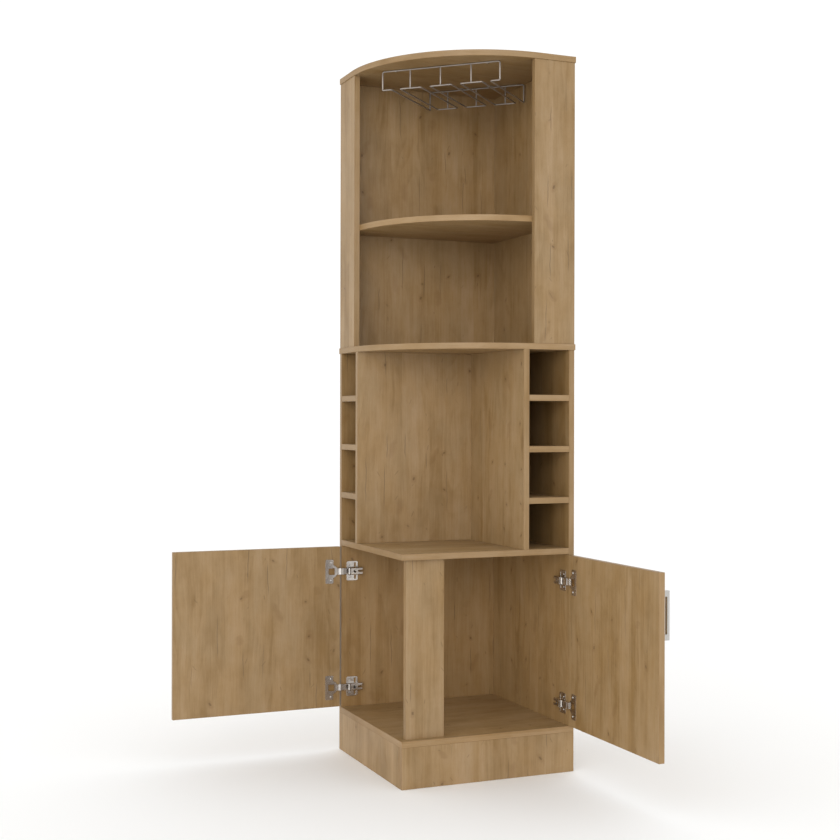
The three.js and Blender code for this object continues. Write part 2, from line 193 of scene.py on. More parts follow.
class Bench:
    """The node tree of one material."""

    def __init__(self, name: str) -> None:
        """Starts an empty material.

        Args:
            name: The material's name.
        """
        self.material = bpy.data.materials.new(name)
        self.material.use_nodes = True
        self.tree = self.material.node_tree
        self.tree.nodes.clear()

    def add(self, kind: str, settings: dict | None = None, sockets: dict | None = None) -> bpy.types.Node:
        """Adds a node.

        Args:
            kind: The node's type.
            settings: Its properties, set before its sockets. The key stops gives a ramp's stops.
            sockets: Numbers, colours or Values, by the socket's name or index.

        Returns:
            The node.
        """
        node = self.tree.nodes.new(kind)
        for name, setting in (settings or {}).items():
            if name == "stops":
                ramp = node.color_ramp.elements
                while len(ramp) < len(setting):
                    ramp.new(0.5)
                for element, (position, colour) in zip(ramp, setting):
                    element.position, element.color = position, colour
            else:
                setattr(node, name, setting)
        for key, amount in (sockets or {}).items():
            if isinstance(amount, Value):
                self.tree.links.new(amount.socket, node.inputs[key])
            else:
                node.inputs[key].default_value = amount
        return node

    def value(self, kind: str, output: int | str, settings: dict | None = None,
              sockets: dict | None = None) -> Value:
        """Adds a node and wraps one of its outputs.

        Args:
            kind: The node's type.
            output: The output's name or index.
            settings: As for add.
            sockets: As for add.

        Returns:
            The wrapped output.
        """
        return Value(self, self.add(kind, settings, sockets).outputs[output])

    def maths(self, operation: str, first: Amount, second: Amount = 0.0) -> Value:
        """Adds a Math node.

        Args:
            operation: The node's operation.
            first: Its first number.
            second: Its second number.

        Returns:
            The result.
        """
        return self.value("ShaderNodeMath", 0, {"operation": operation}, {0: first, 1: second})

    def join(self, x: Amount, y: Amount, z: Amount = 0.0) -> Value:
        """Joins three numbers into a vector."""
        return self.value("ShaderNodeCombineXYZ", 0, None, {0: x, 1: y, 2: z})

    def split(self, vector: Value) -> tuple[Value, Value, Value]:
        """Splits a vector into its three numbers."""
        node = self.add("ShaderNodeSeparateXYZ", None, {0: vector})
        return tuple(Value(self, output) for output in node.outputs)

    def cloud(self, x: Amount, y: Amount, detail: float = 2.0, roughness: float = 0.5) -> Value:
        """A flat noise pattern, about one light and one dark place to each unit.

        Args:
            x: Where it is read, along the pattern's first axis.
            y: Where it is read, along its second axis.
            detail: How many finer layers it has.
            roughness: How strong they are.

        Returns:
            The pattern, around a half.
        """
        sockets = {"Vector": self.join(x, y), "Scale": 1.0, "Detail": detail, "Roughness": roughness}
        return self.value("ShaderNodeTexNoise", 0, {"noise_dimensions": "2D"}, sockets)

    def lumps(self, place: Value, scale: float, detail: float) -> Value:
        """A solid noise pattern.

        Args:
            place: Where it is read.
            scale: How many lumps lie along one unit.
            detail: How many finer layers it has.

        Returns:
            The pattern, around a half.
        """
        return self.value("ShaderNodeTexNoise", 0, {"noise_dimensions": "3D"},
                          {"Vector": place, "Scale": scale, "Detail": detail})

    def blend(self, share: Amount, first: Value | Colour, second: Value | Colour,
              way: str = "MIX") -> Value:
        """Mixes two colours.

        Args:
            share: The share of the second.
            first: The first colour.
            second: The second colour.
            way: The kind of mix.

        Returns:
            The mixed colour.
        """
        settings = {"data_type": "RGBA", "blend_type": way, "clamp_factor": True}
        return self.value("ShaderNodeMix", 2, settings, {0: share, 6: first, 7: second})

    def place(self) -> Value:
        """The object's own coordinates."""
        return self.value("ShaderNodeTexCoord", "Object")

    def bump(self, height: Value, strength: float, distance: float) -> Value:
        """Turns a height into a bumped normal.

        Args:
            height: The height.
            strength: The share of the bump that shows.
            distance: The real height of one unit, in metres.

        Returns:
            The normal.
        """
        sockets = {"Strength": strength, "Distance": distance, "Height": height}
        return self.value("ShaderNodeBump", 0, None, sockets)

    def finish(self, sockets: dict) -> bpy.types.Material:
        """Adds the shader and the output.

        Args:
            sockets: The numbers, colours and Values of the shader.

        Returns:
            The material.
        """
        shader = self.add("ShaderNodeBsdfPrincipled", None, sockets)
        self.add("ShaderNodeOutputMaterial", None, {"Surface": Value(self, shader.outputs["BSDF"])})
        return self.material


@dataclass(frozen=True)
class Noise:
    """A layer of flat noise in the foil: light and dark spots, so many to a metre each way.

    The shift moves it across the grain, so that two layers never lie alike.
    """

    across: float
    along: float
    detail: float = 2.0
    roughness: float = 0.5
    shift: float = 0.0

    def draw(self, bench: Bench, across: Value, along: Value) -> Value:
        """Draws the layer.

        Args:
            bench: The bench of the material.
            across: The place across the grain.
            along: The place along the grain.

        Returns:
            The layer, around a half.
        """
        x, y = across * self.across + self.shift, along * self.along
        return bench.cloud(x, y, self.detail, self.roughness)


@dataclass(frozen=True)
class Staves:
    """Upright staves in the foil, each of its own tone, which comes and goes along it."""

    width: float
    length: float
    shift: float = 0.0
    contrast: float = 1.6

    def draw(self, bench: Bench, across: Value, along: Value) -> Value:
        """Draws the staves.

        Args:
            bench: The bench of the material.
            across: The place across the grain.
            along: The place along the grain.

        Returns:
            Their tone, around a half.
        """
        cells = bench.add("ShaderNodeTexVoronoi", {"voronoi_dimensions": "1D"},
                          {"W": (across + self.shift) / self.width, "Scale": 1.0, "Randomness": 1.0})
        tone, start, _ = bench.split(Value(bench, cells.outputs["Color"]))
        fade = bench.cloud(along / self.length + start * 60, start * 90, 1.0).ease(0.3, 0.7)
        return (tone - 0.5) * fade * self.contrast + 0.5


@dataclass(frozen=True)
class Strokes:
    """Soft strokes in the foil, at most one to a cell. Each leans, wavers and tapers in its own way.

    The shift and the cell are given across and along the grain. Half length and half width are middle
    values, lean is a slope, and share is the share of the cells that hold a stroke.
    """

    shift: tuple[float, float]
    cell: tuple[float, float]
    half_length: float
    half_width: float
    lean: float
    wobble: float
    share: float

    def draw(self, bench: Bench, across: Value, along: Value) -> Value:
        """Scatters the strokes.

        Args:
            bench: The bench of the material.
            across: The place across the grain.
            along: The place along the grain.

        Returns:
            Their strength, up to one.
        """
        across, along = across + self.shift[0], along + self.shift[1]
        cell_x, cell_y = across / self.cell[0], along / self.cell[1]
        cells = bench.add("ShaderNodeTexVoronoi", {"voronoi_dimensions": "2D"},
                          {"Vector": bench.join(cell_x, cell_y), "Scale": 1.0, "Randomness": 0.8})
        centre_x, centre_y, _ = bench.split(Value(bench, cells.outputs["Position"]))
        pick, girth, slant = bench.split(Value(bench, cells.outputs["Color"]))
        off_x, off_y = (cell_x - centre_x) * self.cell[0], (cell_y - centre_y) * self.cell[1]
        waver = bench.cloud(along / (self.half_length * 0.8) + pick * 90, girth * 70, 2.0) - 0.5
        line = off_x + off_y * (slant - 0.5) * (2 * self.lean) + waver * (2 * self.wobble)
        reach = abs(off_y) / (girth * self.half_length + self.half_length * 0.5)
        taper = reach.ease(1.0, 0.4)
        body = (abs(line) / (taper * self.half_width + self.half_width * 0.25)).ease(1.0, 0.15)
        return body * taper * pick.ease(1 - self.share, 1.0 - self.share * 0.55)


@dataclass(frozen=True)
class OakFoil:
    """Matt printed oak foil, read from the board's own foil coordinates in metres.

    figure_shares says how much each layer counts in the figure, and strengths how much each hue patch and
    mark shows, and how much painted shade darkens the fibre valleys and the edge bands.
    ranges says between which values of its noise a layer fades in. relief_shares gives the heights of
    fibres, pores and cracks in parts of the relief, and rough_gains what the first two add to the roughness.
    """

    name: str = "oak_foil"
    pale: str = "9f8461"
    honey: str = "947851"
    dark: str = "82653b"
    golden: str = "987542"
    ashen: str = "8e7959"
    # The smudge colour paints real smudges and pores, and also the painted shade of fibre valleys and edge
    # bands
    smudge: str = "74542c"
    knot: str = "523819"
    crack: str = "43311d"
    tone_stops: tuple[float, float, float] = (0.3, 0.5, 0.68)
    # The gains of the warm tint on broad faces: painted warm bounce light
    bounce_gains: tuple[float, float, float] = (0.03, -0.01, -0.1)
    roughness: float = 0.46
    rough_gains: tuple[float, float] = (0.12, 0.1)
    gloss: float = 0.52
    relief: float = 0.0003
    relief_shares: tuple[float, float, float] = (0.5, -0.5, -0.8)
    relief_strength: float = 0.35

    drift_noise: Noise = Noise(5.0, 1.5)
    drift_reach: float = 0.024
    ripple_noise: Noise = Noise(30.0, 9.0, shift=4.0)
    ripple_reach: float = 0.007
    broad_staves: Staves = Staves(0.042, 0.35)
    narrow_staves: Staves = Staves(0.013, 0.2, shift=9.1)
    band_noise: Noise = Noise(20.0, 1 / 0.3)
    streak_noise: Noise = Noise(1 / 0.0055, 10.0)
    mottle_noise: Noise = Noise(26.0, 17.0, 3.0, 0.6, 8.0)
    fibre_noise: Noise = Noise(1 / 0.0017, 16.0, 3.0, 0.6)
    pore_noise: Noise = Noise(1500.0, 70.0, 1.0)
    hue_noise: Noise = Noise(17.0, 7.0, shift=2.0)
    growth_noise: Noise = Noise(1 / 0.13, 1 / 0.75, 1.0)
    growth_rings: float = 13.0
    ring_patches: Noise = Noise(12.0, 3.3, 1.0, shift=3.0)

    cracks: Strokes = Strokes((0.0, 0.0), (0.062, 0.2), half_length=0.055, half_width=0.0014, lean=0.04,
                              wobble=0.003, share=0.66)
    ticks: Strokes = Strokes((3.7, 1.3), (0.045, 0.06), half_length=0.007, half_width=0.0016, lean=0.9,
                             wobble=0.0008, share=0.3)
    knots: Strokes = Strokes((1.9, 6.1), (0.085, 0.1), half_length=0.0045, half_width=0.0034, lean=0.8,
                             wobble=0.001, share=0.4)
    halos: Strokes = Strokes((1.9, 6.1), (0.085, 0.1), half_length=0.013, half_width=0.009, lean=0.6,
                             wobble=0.002, share=0.4)
    smudges: Strokes = Strokes((5.3, 2.9), (0.1, 0.13), half_length=0.026, half_width=0.011, lean=0.6,
                               wobble=0.006, share=0.5)

    figure_shares: dict[str, float] = field(default_factory=lambda: {
        "broad": 0.12, "narrow": 0.09, "bands": 0.34, "streaks": 0.18, "mottle": 0.26, "fibres": 0.09,
        "rings": -0.07,
    })
    figure_level: float = -0.045
    strengths: dict[str, float] = field(default_factory=lambda: {
        "golden": 0.14, "ashen": 0.17, "smudges": 0.3, "halos": 0.28, "pores": 0.14, "valleys": 0.2,
        "cracks": 0.42, "ticks": 0.35, "knots": 0.6, "band": 0.16, "seam": 0.35,
    })
    ranges: dict[str, tuple[float, float]] = field(default_factory=lambda: {
        "pores": (0.62, 0.78), "valleys": (0.05, 0.3), "golden": (0.02, 0.17), "ashen": (-0.02, -0.17),
        "ring_rise": (0.2, 0.86), "ring_drop": (1.0, 0.86), "ring_patch": (0.5, 0.62),
    })

    def make(self) -> bpy.types.Material:
        """Builds the material.

        Returns:
            The material.
        """
        bench = Bench(self.name)
        across, along, _ = bench.split(bench.value("ShaderNodeUVMap", "UV", {"uv_map": "foil"}))
        band, seam, tone, warmth = (bench.value("ShaderNodeAttribute", "Fac", {"attribute_name": name})
                                    for name in FACE_MARKS)
        flat_face = 1 - band
        strength, reach = self.strengths, self.ranges

        # The way the grain wanders
        drift = (self.drift_noise.draw(bench, across, along) - 0.5) * self.drift_reach
        ripple = (self.ripple_noise.draw(bench, across, along) - 0.5) * self.ripple_reach
        bent = across + drift + ripple

        # Fine fibres, pores, and patches of another hue
        fibres = self.fibre_noise.draw(bench, bent, along)
        pores = self.pore_noise.draw(bench, bent, along).ease(*reach["pores"])
        hue = self.hue_noise.draw(bench, across, along) - 0.5

        # Growth rings: a slow rise and a soft drop, which shows in patches
        ring = bench.maths("FRACT", self.growth_noise.draw(bench, bent, along) * self.growth_rings)
        shown = self.ring_patches.draw(bench, across, along).ease(*reach["ring_patch"])

        # The figure: staves, soft bands, short streaks and mottle, with the fibres and the rings
        layers = {
            "broad": self.broad_staves.draw(bench, across + drift * 0.5, along),
            "narrow": self.narrow_staves.draw(bench, across + drift + ripple * 0.5, along),
            "bands": self.band_noise.draw(bench, bent, along),
            "streaks": self.streak_noise.draw(bench, bent, along),
            "mottle": self.mottle_noise.draw(bench, across, along),
            "fibres": fibres,
            "rings": ring.ease(*reach["ring_rise"]) * ring.ease(*reach["ring_drop"]) * shown,
        }
        figure = sum(layers[name] * share for name, share in self.figure_shares.items()) + self.figure_level
        tones = (paint(self.dark), paint(self.honey), paint(self.pale))
        colour = bench.value("ShaderNodeValToRGB", "Color", {"stops": list(zip(self.tone_stops, tones))},
                             {"Fac": figure})

        # Marks: long hairline cracks, short ticks, small knots and warm smudges
        cracks, ticks, knots, halos, smudges = (strokes.draw(bench, across, along) for strokes in (
            self.cracks, self.ticks, self.knots, self.halos, self.smudges))
        # The low places of the fibre relief are darkened: painted shade in the hollows of the grain
        valleys = (0.5 - fibres).ease(*reach["valleys"])
        # Real marks and hue patches, and the painted shade of fibre valleys and edge bands
        stains_and_shade = (
            (hue.ease(*reach["golden"]) * strength["golden"], self.golden),
            (hue.ease(*reach["ashen"]) * strength["ashen"], self.ashen),
            ((smudges * strength["smudges"] + halos * strength["halos"]) * flat_face, self.smudge),
            (pores * strength["pores"] + valleys * strength["valleys"], self.smudge),
            (cracks * flat_face * strength["cracks"], self.crack),
            ((ticks * strength["ticks"] + knots * strength["knots"]) * flat_face, self.knot),
            # Every narrow face is darkened by a flat share: painted shade on the edge bands
            (band * strength["band"] + seam * strength["seam"], self.smudge),
        )
        for share, overlay in stains_and_shade:
            colour = bench.blend(share, colour, paint(overlay))

        # The tone holds the random sheet tone times painted light and shade, and the warm tint is painted
        # warm bounce light
        tint = bench.join(*(tone * (warmth * gain + 1) for gain in self.bounce_gains))
        fibre_share, pore_share, crack_share = self.relief_shares
        height = fibres * fibre_share + pores * pore_share + cracks * flat_face * crack_share
        return bench.finish({
            "Base Color": bench.blend(1.0, colour, tint, "MULTIPLY"),
            "Roughness": self.roughness + fibres * self.rough_gains[0] + pores * self.rough_gains[1],
            "Specular IOR Level": self.gloss,
            "Normal": bench.bump(height, self.relief_strength, self.relief),
        })


@dataclass(frozen=True)
class Plating:
    """A bright metal coat over pressed or drawn steel, clouded in patches and finely dimpled."""

    name: str
    tint: str
    roughness: float
    spread: float = 0.06
    cloud: float = 0.012
    dimple: float = 0.00004
    metal: float = 1.0
    dull_shares: tuple[float, float] = (0.82, 0.84)
    dull_range: tuple[float, float] = (0.4, 0.7)
    grit_scale: float = 1800.0
    grit_strength: float = 0.25

    def make(self) -> bpy.types.Material:
        """Builds the material.

        Returns:
            The material.
        """
        bench = Bench(self.name)
        drift = bench.lumps(bench.place(), 1 / self.cloud, 3.0)
        grit = bench.lumps(bench.place(), self.grit_scale, 1.0)
        bright = paint(self.tint)
        return bench.finish({
            "Base Color": bench.blend(drift.ease(*self.dull_range), bright,
                                      dulled(bright, *self.dull_shares)),
            "Metallic": self.metal,
            "Roughness": self.roughness + (drift - 0.5) * self.spread * 2,
            "Normal": bench.bump(grit, self.grit_strength, self.dimple),
        })


@dataclass(frozen=True)
class BrushedBar:
    """Satin metal, brushed along its length."""

    name: str = "brushed_bar"
    tint: str = "c6c4bf"
    roughness: float = 0.3
    spread: float = 0.18
    streak: float = 0.0006
    streaks_up: float = 14.0
    relief: float = 0.00005
    relief_strength: float = 0.3
    worn_shares: tuple[float, float] = (0.86, 0.87)
    worn_range: tuple[float, float] = (0.35, 0.65)

    def make(self) -> bpy.types.Material:
        """Builds the material.

        Returns:
            The material.
        """
        bench = Bench(self.name)
        x, y, z = bench.split(bench.place())
        streaks = bench.lumps(bench.join(x / self.streak, y / self.streak, z * self.streaks_up), 1.0, 2.0)
        bright = paint(self.tint)
        worn = dulled(bright, *self.worn_shares)
        return bench.finish({
            "Base Color": bench.blend(streaks.ease(*self.worn_range), worn, bright),
            "Metallic": 1.0,
            "Roughness": self.roughness + (streaks - 0.5) * self.spread,
            "Normal": bench.bump(streaks, self.relief_strength, self.relief),
        })


@dataclass(frozen=True)
class StudioFloor:
    """A plain pale floor with the faintest clouding."""

    name: str = "studio_floor"
    tint: str = "fafaf9"
    cloud_scale: float = 1.5
    cloud_share: float = 0.985
    roughness: float = 0.7
    gloss: float = 0.2

    def make(self) -> bpy.types.Material:
        """Builds the material.

        Returns:
            The material.
        """
        bench = Bench(self.name)
        x, y, _ = bench.split(bench.place())
        clouding = bench.cloud(x * self.cloud_scale, y * self.cloud_scale)
        pale = paint(self.tint)
        return bench.finish({
            "Base Color": bench.blend(clouding, pale, dulled(pale, self.cloud_share, self.cloud_share)),
            "Roughness": self.roughness,
            "Specular IOR Level": self.gloss,
        })


class Finishes:
    """Every finish of the cabinet, made once."""

    def __init__(self) -> None:
        """Makes the materials."""
        self.oak = OakFoil().make()
        self.nickel = Plating("nickel_plate", "cfcac4", 0.24, spread=0.03, cloud=0.02,
                              dimple=0.000008).make()
        self.yellow = Plating("yellow_zinc", "b08b58", 0.45, metal=0.25).make()
        self.bright = Plating("bright_screw", "e4e2de", 0.3, spread=0.03, cloud=0.02,
                              dimple=0.000008).make()
        self.chrome = Plating("chromed_wire", "a09890", 0.4, spread=0.03, cloud=0.03, dimple=0.00001,
                              metal=0.55).make()
        self.satin = BrushedBar().make()
        self.floor = StudioFloor().make()


# Modelling


def take_up(piece: bpy.types.Object) -> None:
    """Makes one piece the only selected one, and the active one.

    Args:
        piece: The piece.
    """
    bpy.ops.object.select_all(action="DESELECT")
    piece.select_set(True)
    bpy.context.view_layer.objects.active = piece


def settle(piece: bpy.types.Object) -> bpy.types.Object:
    """Puts a piece's place into its mesh.

    Args:
        piece: The piece.

    Returns:
        The piece.
    """
    take_up(piece)
    bpy.ops.object.transform_apply(location=True, rotation=True, scale=True)
    return piece


def block(name: str, low: Sequence[float], high: Sequence[float]) -> bpy.types.Object:
    """Adds a box between two corners.

    Args:
        name: The piece's name.
        low: Its lowest corner.
        high: Its highest corner.

    Returns:
        The piece.
    """
    bpy.ops.object.select_all(action="DESELECT")
    low, high = Vector(low), Vector(high)
    bpy.ops.mesh.primitive_cube_add(size=1, location=(low + high) / 2)
    piece = bpy.context.object
    piece.name = piece.data.name = name
    piece.scale = high - low
    return settle(piece)


def rod(name: str, start: Sequence[float], end: Sequence[float], radius: float,
        facets: int = 32) -> bpy.types.Object:
    """Adds a round rod between two points.

    Args:
        name: The piece's name.
        start: The middle of one end.
        end: The middle of the other end.
        radius: Its radius.
        facets: How many sides it has.

    Returns:
        The piece.
    """
    bpy.ops.object.select_all(action="DESELECT")
    start, end = Vector(start), Vector(end)
    along = end - start
    bpy.ops.mesh.primitive_cylinder_add(
        vertices=facets, radius=radius, depth=along.length, location=(start + end) / 2,
        rotation=along.to_track_quat("Z", "Y").to_euler(),
    )
    piece = bpy.context.object
    piece.name = piece.data.name = name
    return settle(piece)


def pick_edges(piece: bpy.types.Object, test: Test) -> None:
    """Selects the edges whose two ends pass a test, and nothing else.

    Args:
        piece: The piece.
        test: Takes an edge's two ends.
    """
    mesh = piece.data
    for items in (mesh.vertices, mesh.edges, mesh.polygons):
        items.foreach_set("select", [False] * len(items))
    for edge in mesh.edges:
        first, second = (mesh.vertices[index].co for index in edge.vertices)
        edge.select = test(first, second)


def round_edges(piece: bpy.types.Object, test: Test, radius: float, segments: int) -> None:
    """Rounds the edges that pass a test.

    Args:
        piece: The piece.
        test: Takes an edge's two ends.
        radius: The rounding's radius.
        segments: How many flats it has.
    """
    take_up(piece)
    pick_edges(piece, test)
    bpy.context.tool_settings.mesh_select_mode = (False, True, False)
    bpy.ops.object.mode_set(mode="EDIT")
    bpy.ops.mesh.bevel(offset=radius, segments=segments, profile=0.5, affect="EDGES")
    bpy.ops.object.mode_set(mode="OBJECT")


def finish_with(piece: bpy.types.Object, kind: str, **settings: object) -> None:
    """Adds a modifier to a piece and applies it.

    Args:
        piece: The piece.
        kind: The modifier's type.
        **settings: Its settings.
    """
    take_up(piece)
    modifier = piece.modifiers.new(kind.lower(), kind)
    for name, setting in settings.items():
        setattr(modifier, name, setting)
    bpy.ops.object.modifier_apply(modifier=modifier.name)


def ease_edges(piece: bpy.types.Object, width: float, segments: int = 2, angle: float = 32.0) -> None:
    """Takes the sharpness off every edge above an angle.

    Args:
        piece: The piece.
        width: How wide each eased edge is.
        segments: How many flats it has.
        angle: The angle, in degrees.
    """
    finish_with(piece, "BEVEL", width=width, segments=segments, limit_method="ANGLE",
                angle_limit=math.radians(angle), use_clamp_overlap=True)


def cut_out(piece: bpy.types.Object, cutters: Iterable[bpy.types.Object]) -> None:
    """Cuts pieces out of a piece and throws them away.

    Args:
        piece: The piece.
        cutters: What is cut out of it.
    """
    for cutter in cutters:
        finish_with(piece, "BOOLEAN", operation="DIFFERENCE", solver="EXACT", object=cutter)
        bpy.data.meshes.remove(cutter.data)


def join_up(name: str, pieces: Sequence[bpy.types.Object]) -> bpy.types.Object:
    """Joins pieces into one object without merging their surfaces.

    Args:
        name: The joined piece's name.
        pieces: The pieces.

    Returns:
        The joined piece.
    """
    take_up(pieces[0])
    for piece in pieces[1:]:
        piece.select_set(True)
    bpy.ops.object.join()
    pieces[0].name = pieces[0].data.name = name
    return pieces[0]


def smooth(piece: bpy.types.Object, angle: float) -> None:
    """Shades a piece smooth across edges below an angle, in degrees."""
    take_up(piece)
    bpy.ops.object.shade_smooth_by_angle(angle=math.radians(angle))


def polish(piece: bpy.types.Object, angle: float = 50.0) -> None:
    """Shades metal smooth round its eased edges, and keeps its flats flat."""
    smooth(piece, angle)
    finish_with(piece, "WEIGHTED_NORMAL", keep_sharp=True, weight=80)


def plate(name: str, rings: Sequence[Ring], thickness: float, easing: float) -> bpy.types.Object:
    """Presses a flat plate from an outline and holes, standing on the XY plane.

    Args:
        name: The piece's name.
        rings: The outline, and then its holes.
        thickness: The plate's thickness, upwards.
        easing: How much its rims are eased.

    Returns:
        The piece.
    """
    vertices: list[tuple[float, float, float]] = []
    edges: list[tuple[int, int]] = []
    for ring in rings:
        first = len(vertices)
        vertices += [(x, y, 0.0) for x, y in ring]
        edges += [(first + index, first + (index + 1) % len(ring)) for index in range(len(ring))]
    mesh = bpy.data.meshes.new(name)
    mesh.from_pydata(vertices, edges, [])
    piece = bpy.data.objects.new(name, mesh)
    bpy.context.scene.collection.objects.link(piece)
    take_up(piece)
    bpy.context.tool_settings.mesh_select_mode = (False, True, False)
    bpy.ops.object.mode_set(mode="EDIT")
    bpy.ops.mesh.select_all(action="SELECT")
    bpy.ops.mesh.fill(use_beauty=True)
    bpy.ops.mesh.select_all(action="SELECT")
    bpy.ops.mesh.normals_make_consistent(inside=False)
    bpy.ops.object.mode_set(mode="OBJECT")
    up = sum(face.normal.z * face.area for face in mesh.polygons)
    if up < 0:
        mesh.flip_normals()
    finish_with(piece, "SOLIDIFY", thickness=thickness, offset=1.0)
    ease_edges(piece, easing, 2, 45.0)
    return piece


def rounded_ring(width: float, height: float, corner: float, centre: tuple[float, float]) -> Ring:
    """The outline of a rectangle with rounded corners.

    Args:
        width: Its size along the first axis.
        height: Its size along the second axis.
        corner: The radius of its corners.
        centre: Its middle.

    Returns:
        Its points, anticlockwise.
    """
    steps = 6
    points = []
    for quarter, (side_x, side_y) in enumerate(((1, 1), (-1, 1), (-1, -1), (1, -1))):
        x = centre[0] + side_x * (width / 2 - corner)
        y = centre[1] + side_y * (height / 2 - corner)
        for step in range(steps + 1):
            angle = math.pi / 2 * (quarter + step / steps)
            points.append((x + corner * math.cos(angle), y + corner * math.sin(angle)))
    return points


def circle_ring(radius: float, centre: tuple[float, float]) -> Ring:
    """The outline of a circle.

    Args:
        radius: Its radius.
        centre: Its middle.

    Returns:
        Its points, anticlockwise.
    """
    steps = 24
    turns = [2 * math.pi * step / steps for step in range(steps)]
    return [(centre[0] + radius * math.cos(turn), centre[1] + radius * math.sin(turn)) for turn in turns]


def bent_route(corners: Sequence[Vector], bend: float, closed: bool) -> list[Vector]:
    """A route through corners with an arc at each bend.

    Args:
        corners: The corner points.
        bend: The radius of each bend.
        closed: Whether the route comes back to its start.

    Returns:
        The route's points.
    """
    points = []
    steps = 7
    count = len(corners)
    for index, corner in enumerate(corners):
        if not closed and index in (0, count - 1):
            points.append(corner)
            continue
        back = (corners[index - 1] - corner).normalized()
        ahead = (corners[(index + 1) % count] - corner).normalized()
        half = back.angle(ahead) / 2
        reach = bend / math.tan(half)
        middle = corner + (back + ahead).normalized() * (bend / math.sin(half))
        start = corner + back * reach - middle
        end = corner + ahead * reach - middle
        turn = start.rotation_difference(end)
        for step in range(steps + 1):
            share = Matrix.Identity(3).to_quaternion().slerp(turn, step / steps)
            points.append(middle + share @ start)
    return points


def wire(name: str, route: Sequence[Vector], radius: float, closed: bool = False) -> bpy.types.Object:
    """Draws a round wire along a route.

    Args:
        name: The piece's name.
        route: The points of its middle line.
        radius: Its radius.
        closed: Whether its ends meet.

    Returns:
        The piece, as a mesh.
    """
    curve = bpy.data.curves.new(name, "CURVE")
    curve.dimensions = "3D"
    curve.bevel_depth = radius
    curve.bevel_resolution = 4
    curve.use_fill_caps = True
    spline = curve.splines.new("POLY")
    spline.points.add(len(route) - 1)
    for point, place in zip(spline.points, route):
        point.co = (*place, 1.0)
    spline.use_cyclic_u = closed
    piece = bpy.data.objects.new(name, curve)
    bpy.context.scene.collection.objects.link(piece)
    take_up(piece)
    bpy.ops.object.convert(target="MESH")
    piece = bpy.context.object
    merge(piece)
    return piece


def merge(piece: bpy.types.Object) -> None:
    """Merges doubled points and turns all faces outwards.

    Args:
        piece: The piece.
    """
    take_up(piece)
    bpy.ops.object.mode_set(mode="EDIT")
    bpy.ops.mesh.select_all(action="SELECT")
    bpy.ops.mesh.remove_doubles(threshold=0.000002)
    bpy.ops.mesh.normals_make_consistent(inside=False)
    bpy.ops.object.mode_set(mode="OBJECT")


def stamped(model: bpy.types.Object, name: str, place: Matrix) -> bpy.types.Object:
    """Copies a model to a place, with a mesh of its own and its faces outwards.

    Args:
        model: The model, made once.
        name: The copy's name.
        place: The frame that it moves into, which may mirror.

    Returns:
        The copy.
    """
    mesh = model.data.copy()
    mesh.transform(place)
    if place.to_3x3().determinant() < 0:
        mesh.flip_normals()
    piece = bpy.data.objects.new(name, mesh)
    mesh.name = name
    bpy.context.scene.collection.objects.link(piece)
    return piece


def scrap(model: bpy.types.Object) -> None:
    """Throws a model away once it has been copied."""
    bpy.data.meshes.remove(model.data)


def hand_over(piece: bpy.types.Object, body: str, material: bpy.types.Material, slot: Slot,
              *nodes: str) -> bpy.types.Object:
    """Gives a finished piece its material, its body and the solids that it stands for.

    Args:
        piece: The piece.
        body: The body that it rides on.
        material: Its material.
        slot: Its slot in the record. It is not used.
        *nodes: The solids that it replaces.

    Returns:
        The piece.
    """
    piece.data.materials.clear()
    piece.data.materials.append(material)
    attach(piece, body)
    if nodes:
        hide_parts(*nodes)
    log.info("%s rides on %s with %d faces", piece.name, body, len(piece.data.polygons))
    return piece


# Boards


def lay_foil(piece: bpy.types.Object, grain: Grain, shade: float, edge_run: Run | None = None,
             warmth: float = 0.0) -> None:
    """Lays the printed foil on a board: coordinates in metres, and the face marks that the foil reads.

    Args:
        piece: The board.
        grain: The way the grain of its broad faces runs.
        shade: How much lighter or darker the whole board is painted, as a factor: painted light and shade.
        edge_run: Gives how far along its narrow faces a point lies, where they are curved.
        warmth: How much warmer its broad faces are tinted: painted warm bounce light.
    """
    mesh = piece.data
    while mesh.uv_layers:
        mesh.uv_layers.remove(mesh.uv_layers[0])
    mesh.uv_layers.new(name="foil")
    places = [[vertex.co[axis] for vertex in mesh.vertices] for axis in range(3)]
    spread = [max(reach) - min(reach) for reach in places]
    thin = spread.index(min(spread))
    draw = random.Random(piece.name)
    shifts = {(axis, side): (draw.uniform(*SHEET_SHIFTS), draw.uniform(*SHEET_SHIFTS))
              for axis in range(3) for side in (-1, 1)}
    # A random sheet tone, times the board's painted light and shade
    tone = draw.uniform(*SHEET_TONES) * shade
    for name in FACE_MARKS:
        mesh.attributes.new(name, "FLOAT", "FACE")
    layer = mesh.uv_layers["foil"]
    marks = [mesh.attributes[name] for name in FACE_MARKS]
    for face in mesh.polygons:
        axis = max(range(3), key=lambda index: abs(face.normal[index]))
        side = 1 if face.normal[axis] > 0 else -1
        flat = [index for index in range(3) if index != axis]
        broad = axis == thin
        along = grain.value if broad else max(flat, key=lambda index: spread[index])
        curved = edge_run is not None and not broad
        shift = shifts[(0, -1)] if curved else shifts[(axis, side)]
        across = thin if curved else flat[1 - flat.index(along)]
        slope = math.hypot(*(face.normal[index] for index in range(3) if index != thin))
        seam = 1.0 if SEAM_SLOPES[0] < slope < SEAM_SLOPES[1] else 0.0
        for mark, strength in zip(marks, (float(not broad), seam, tone, warmth if broad else 0.0)):
            mark.data[face.index].value = strength
        for corner in face.loop_indices:
            point = mesh.vertices[mesh.loops[corner].vertex_index].co
            run = edge_run(point, face.normal) if curved else point[along]
            layer.data[corner].uv = (point[across] + shift[0], run + shift[1])


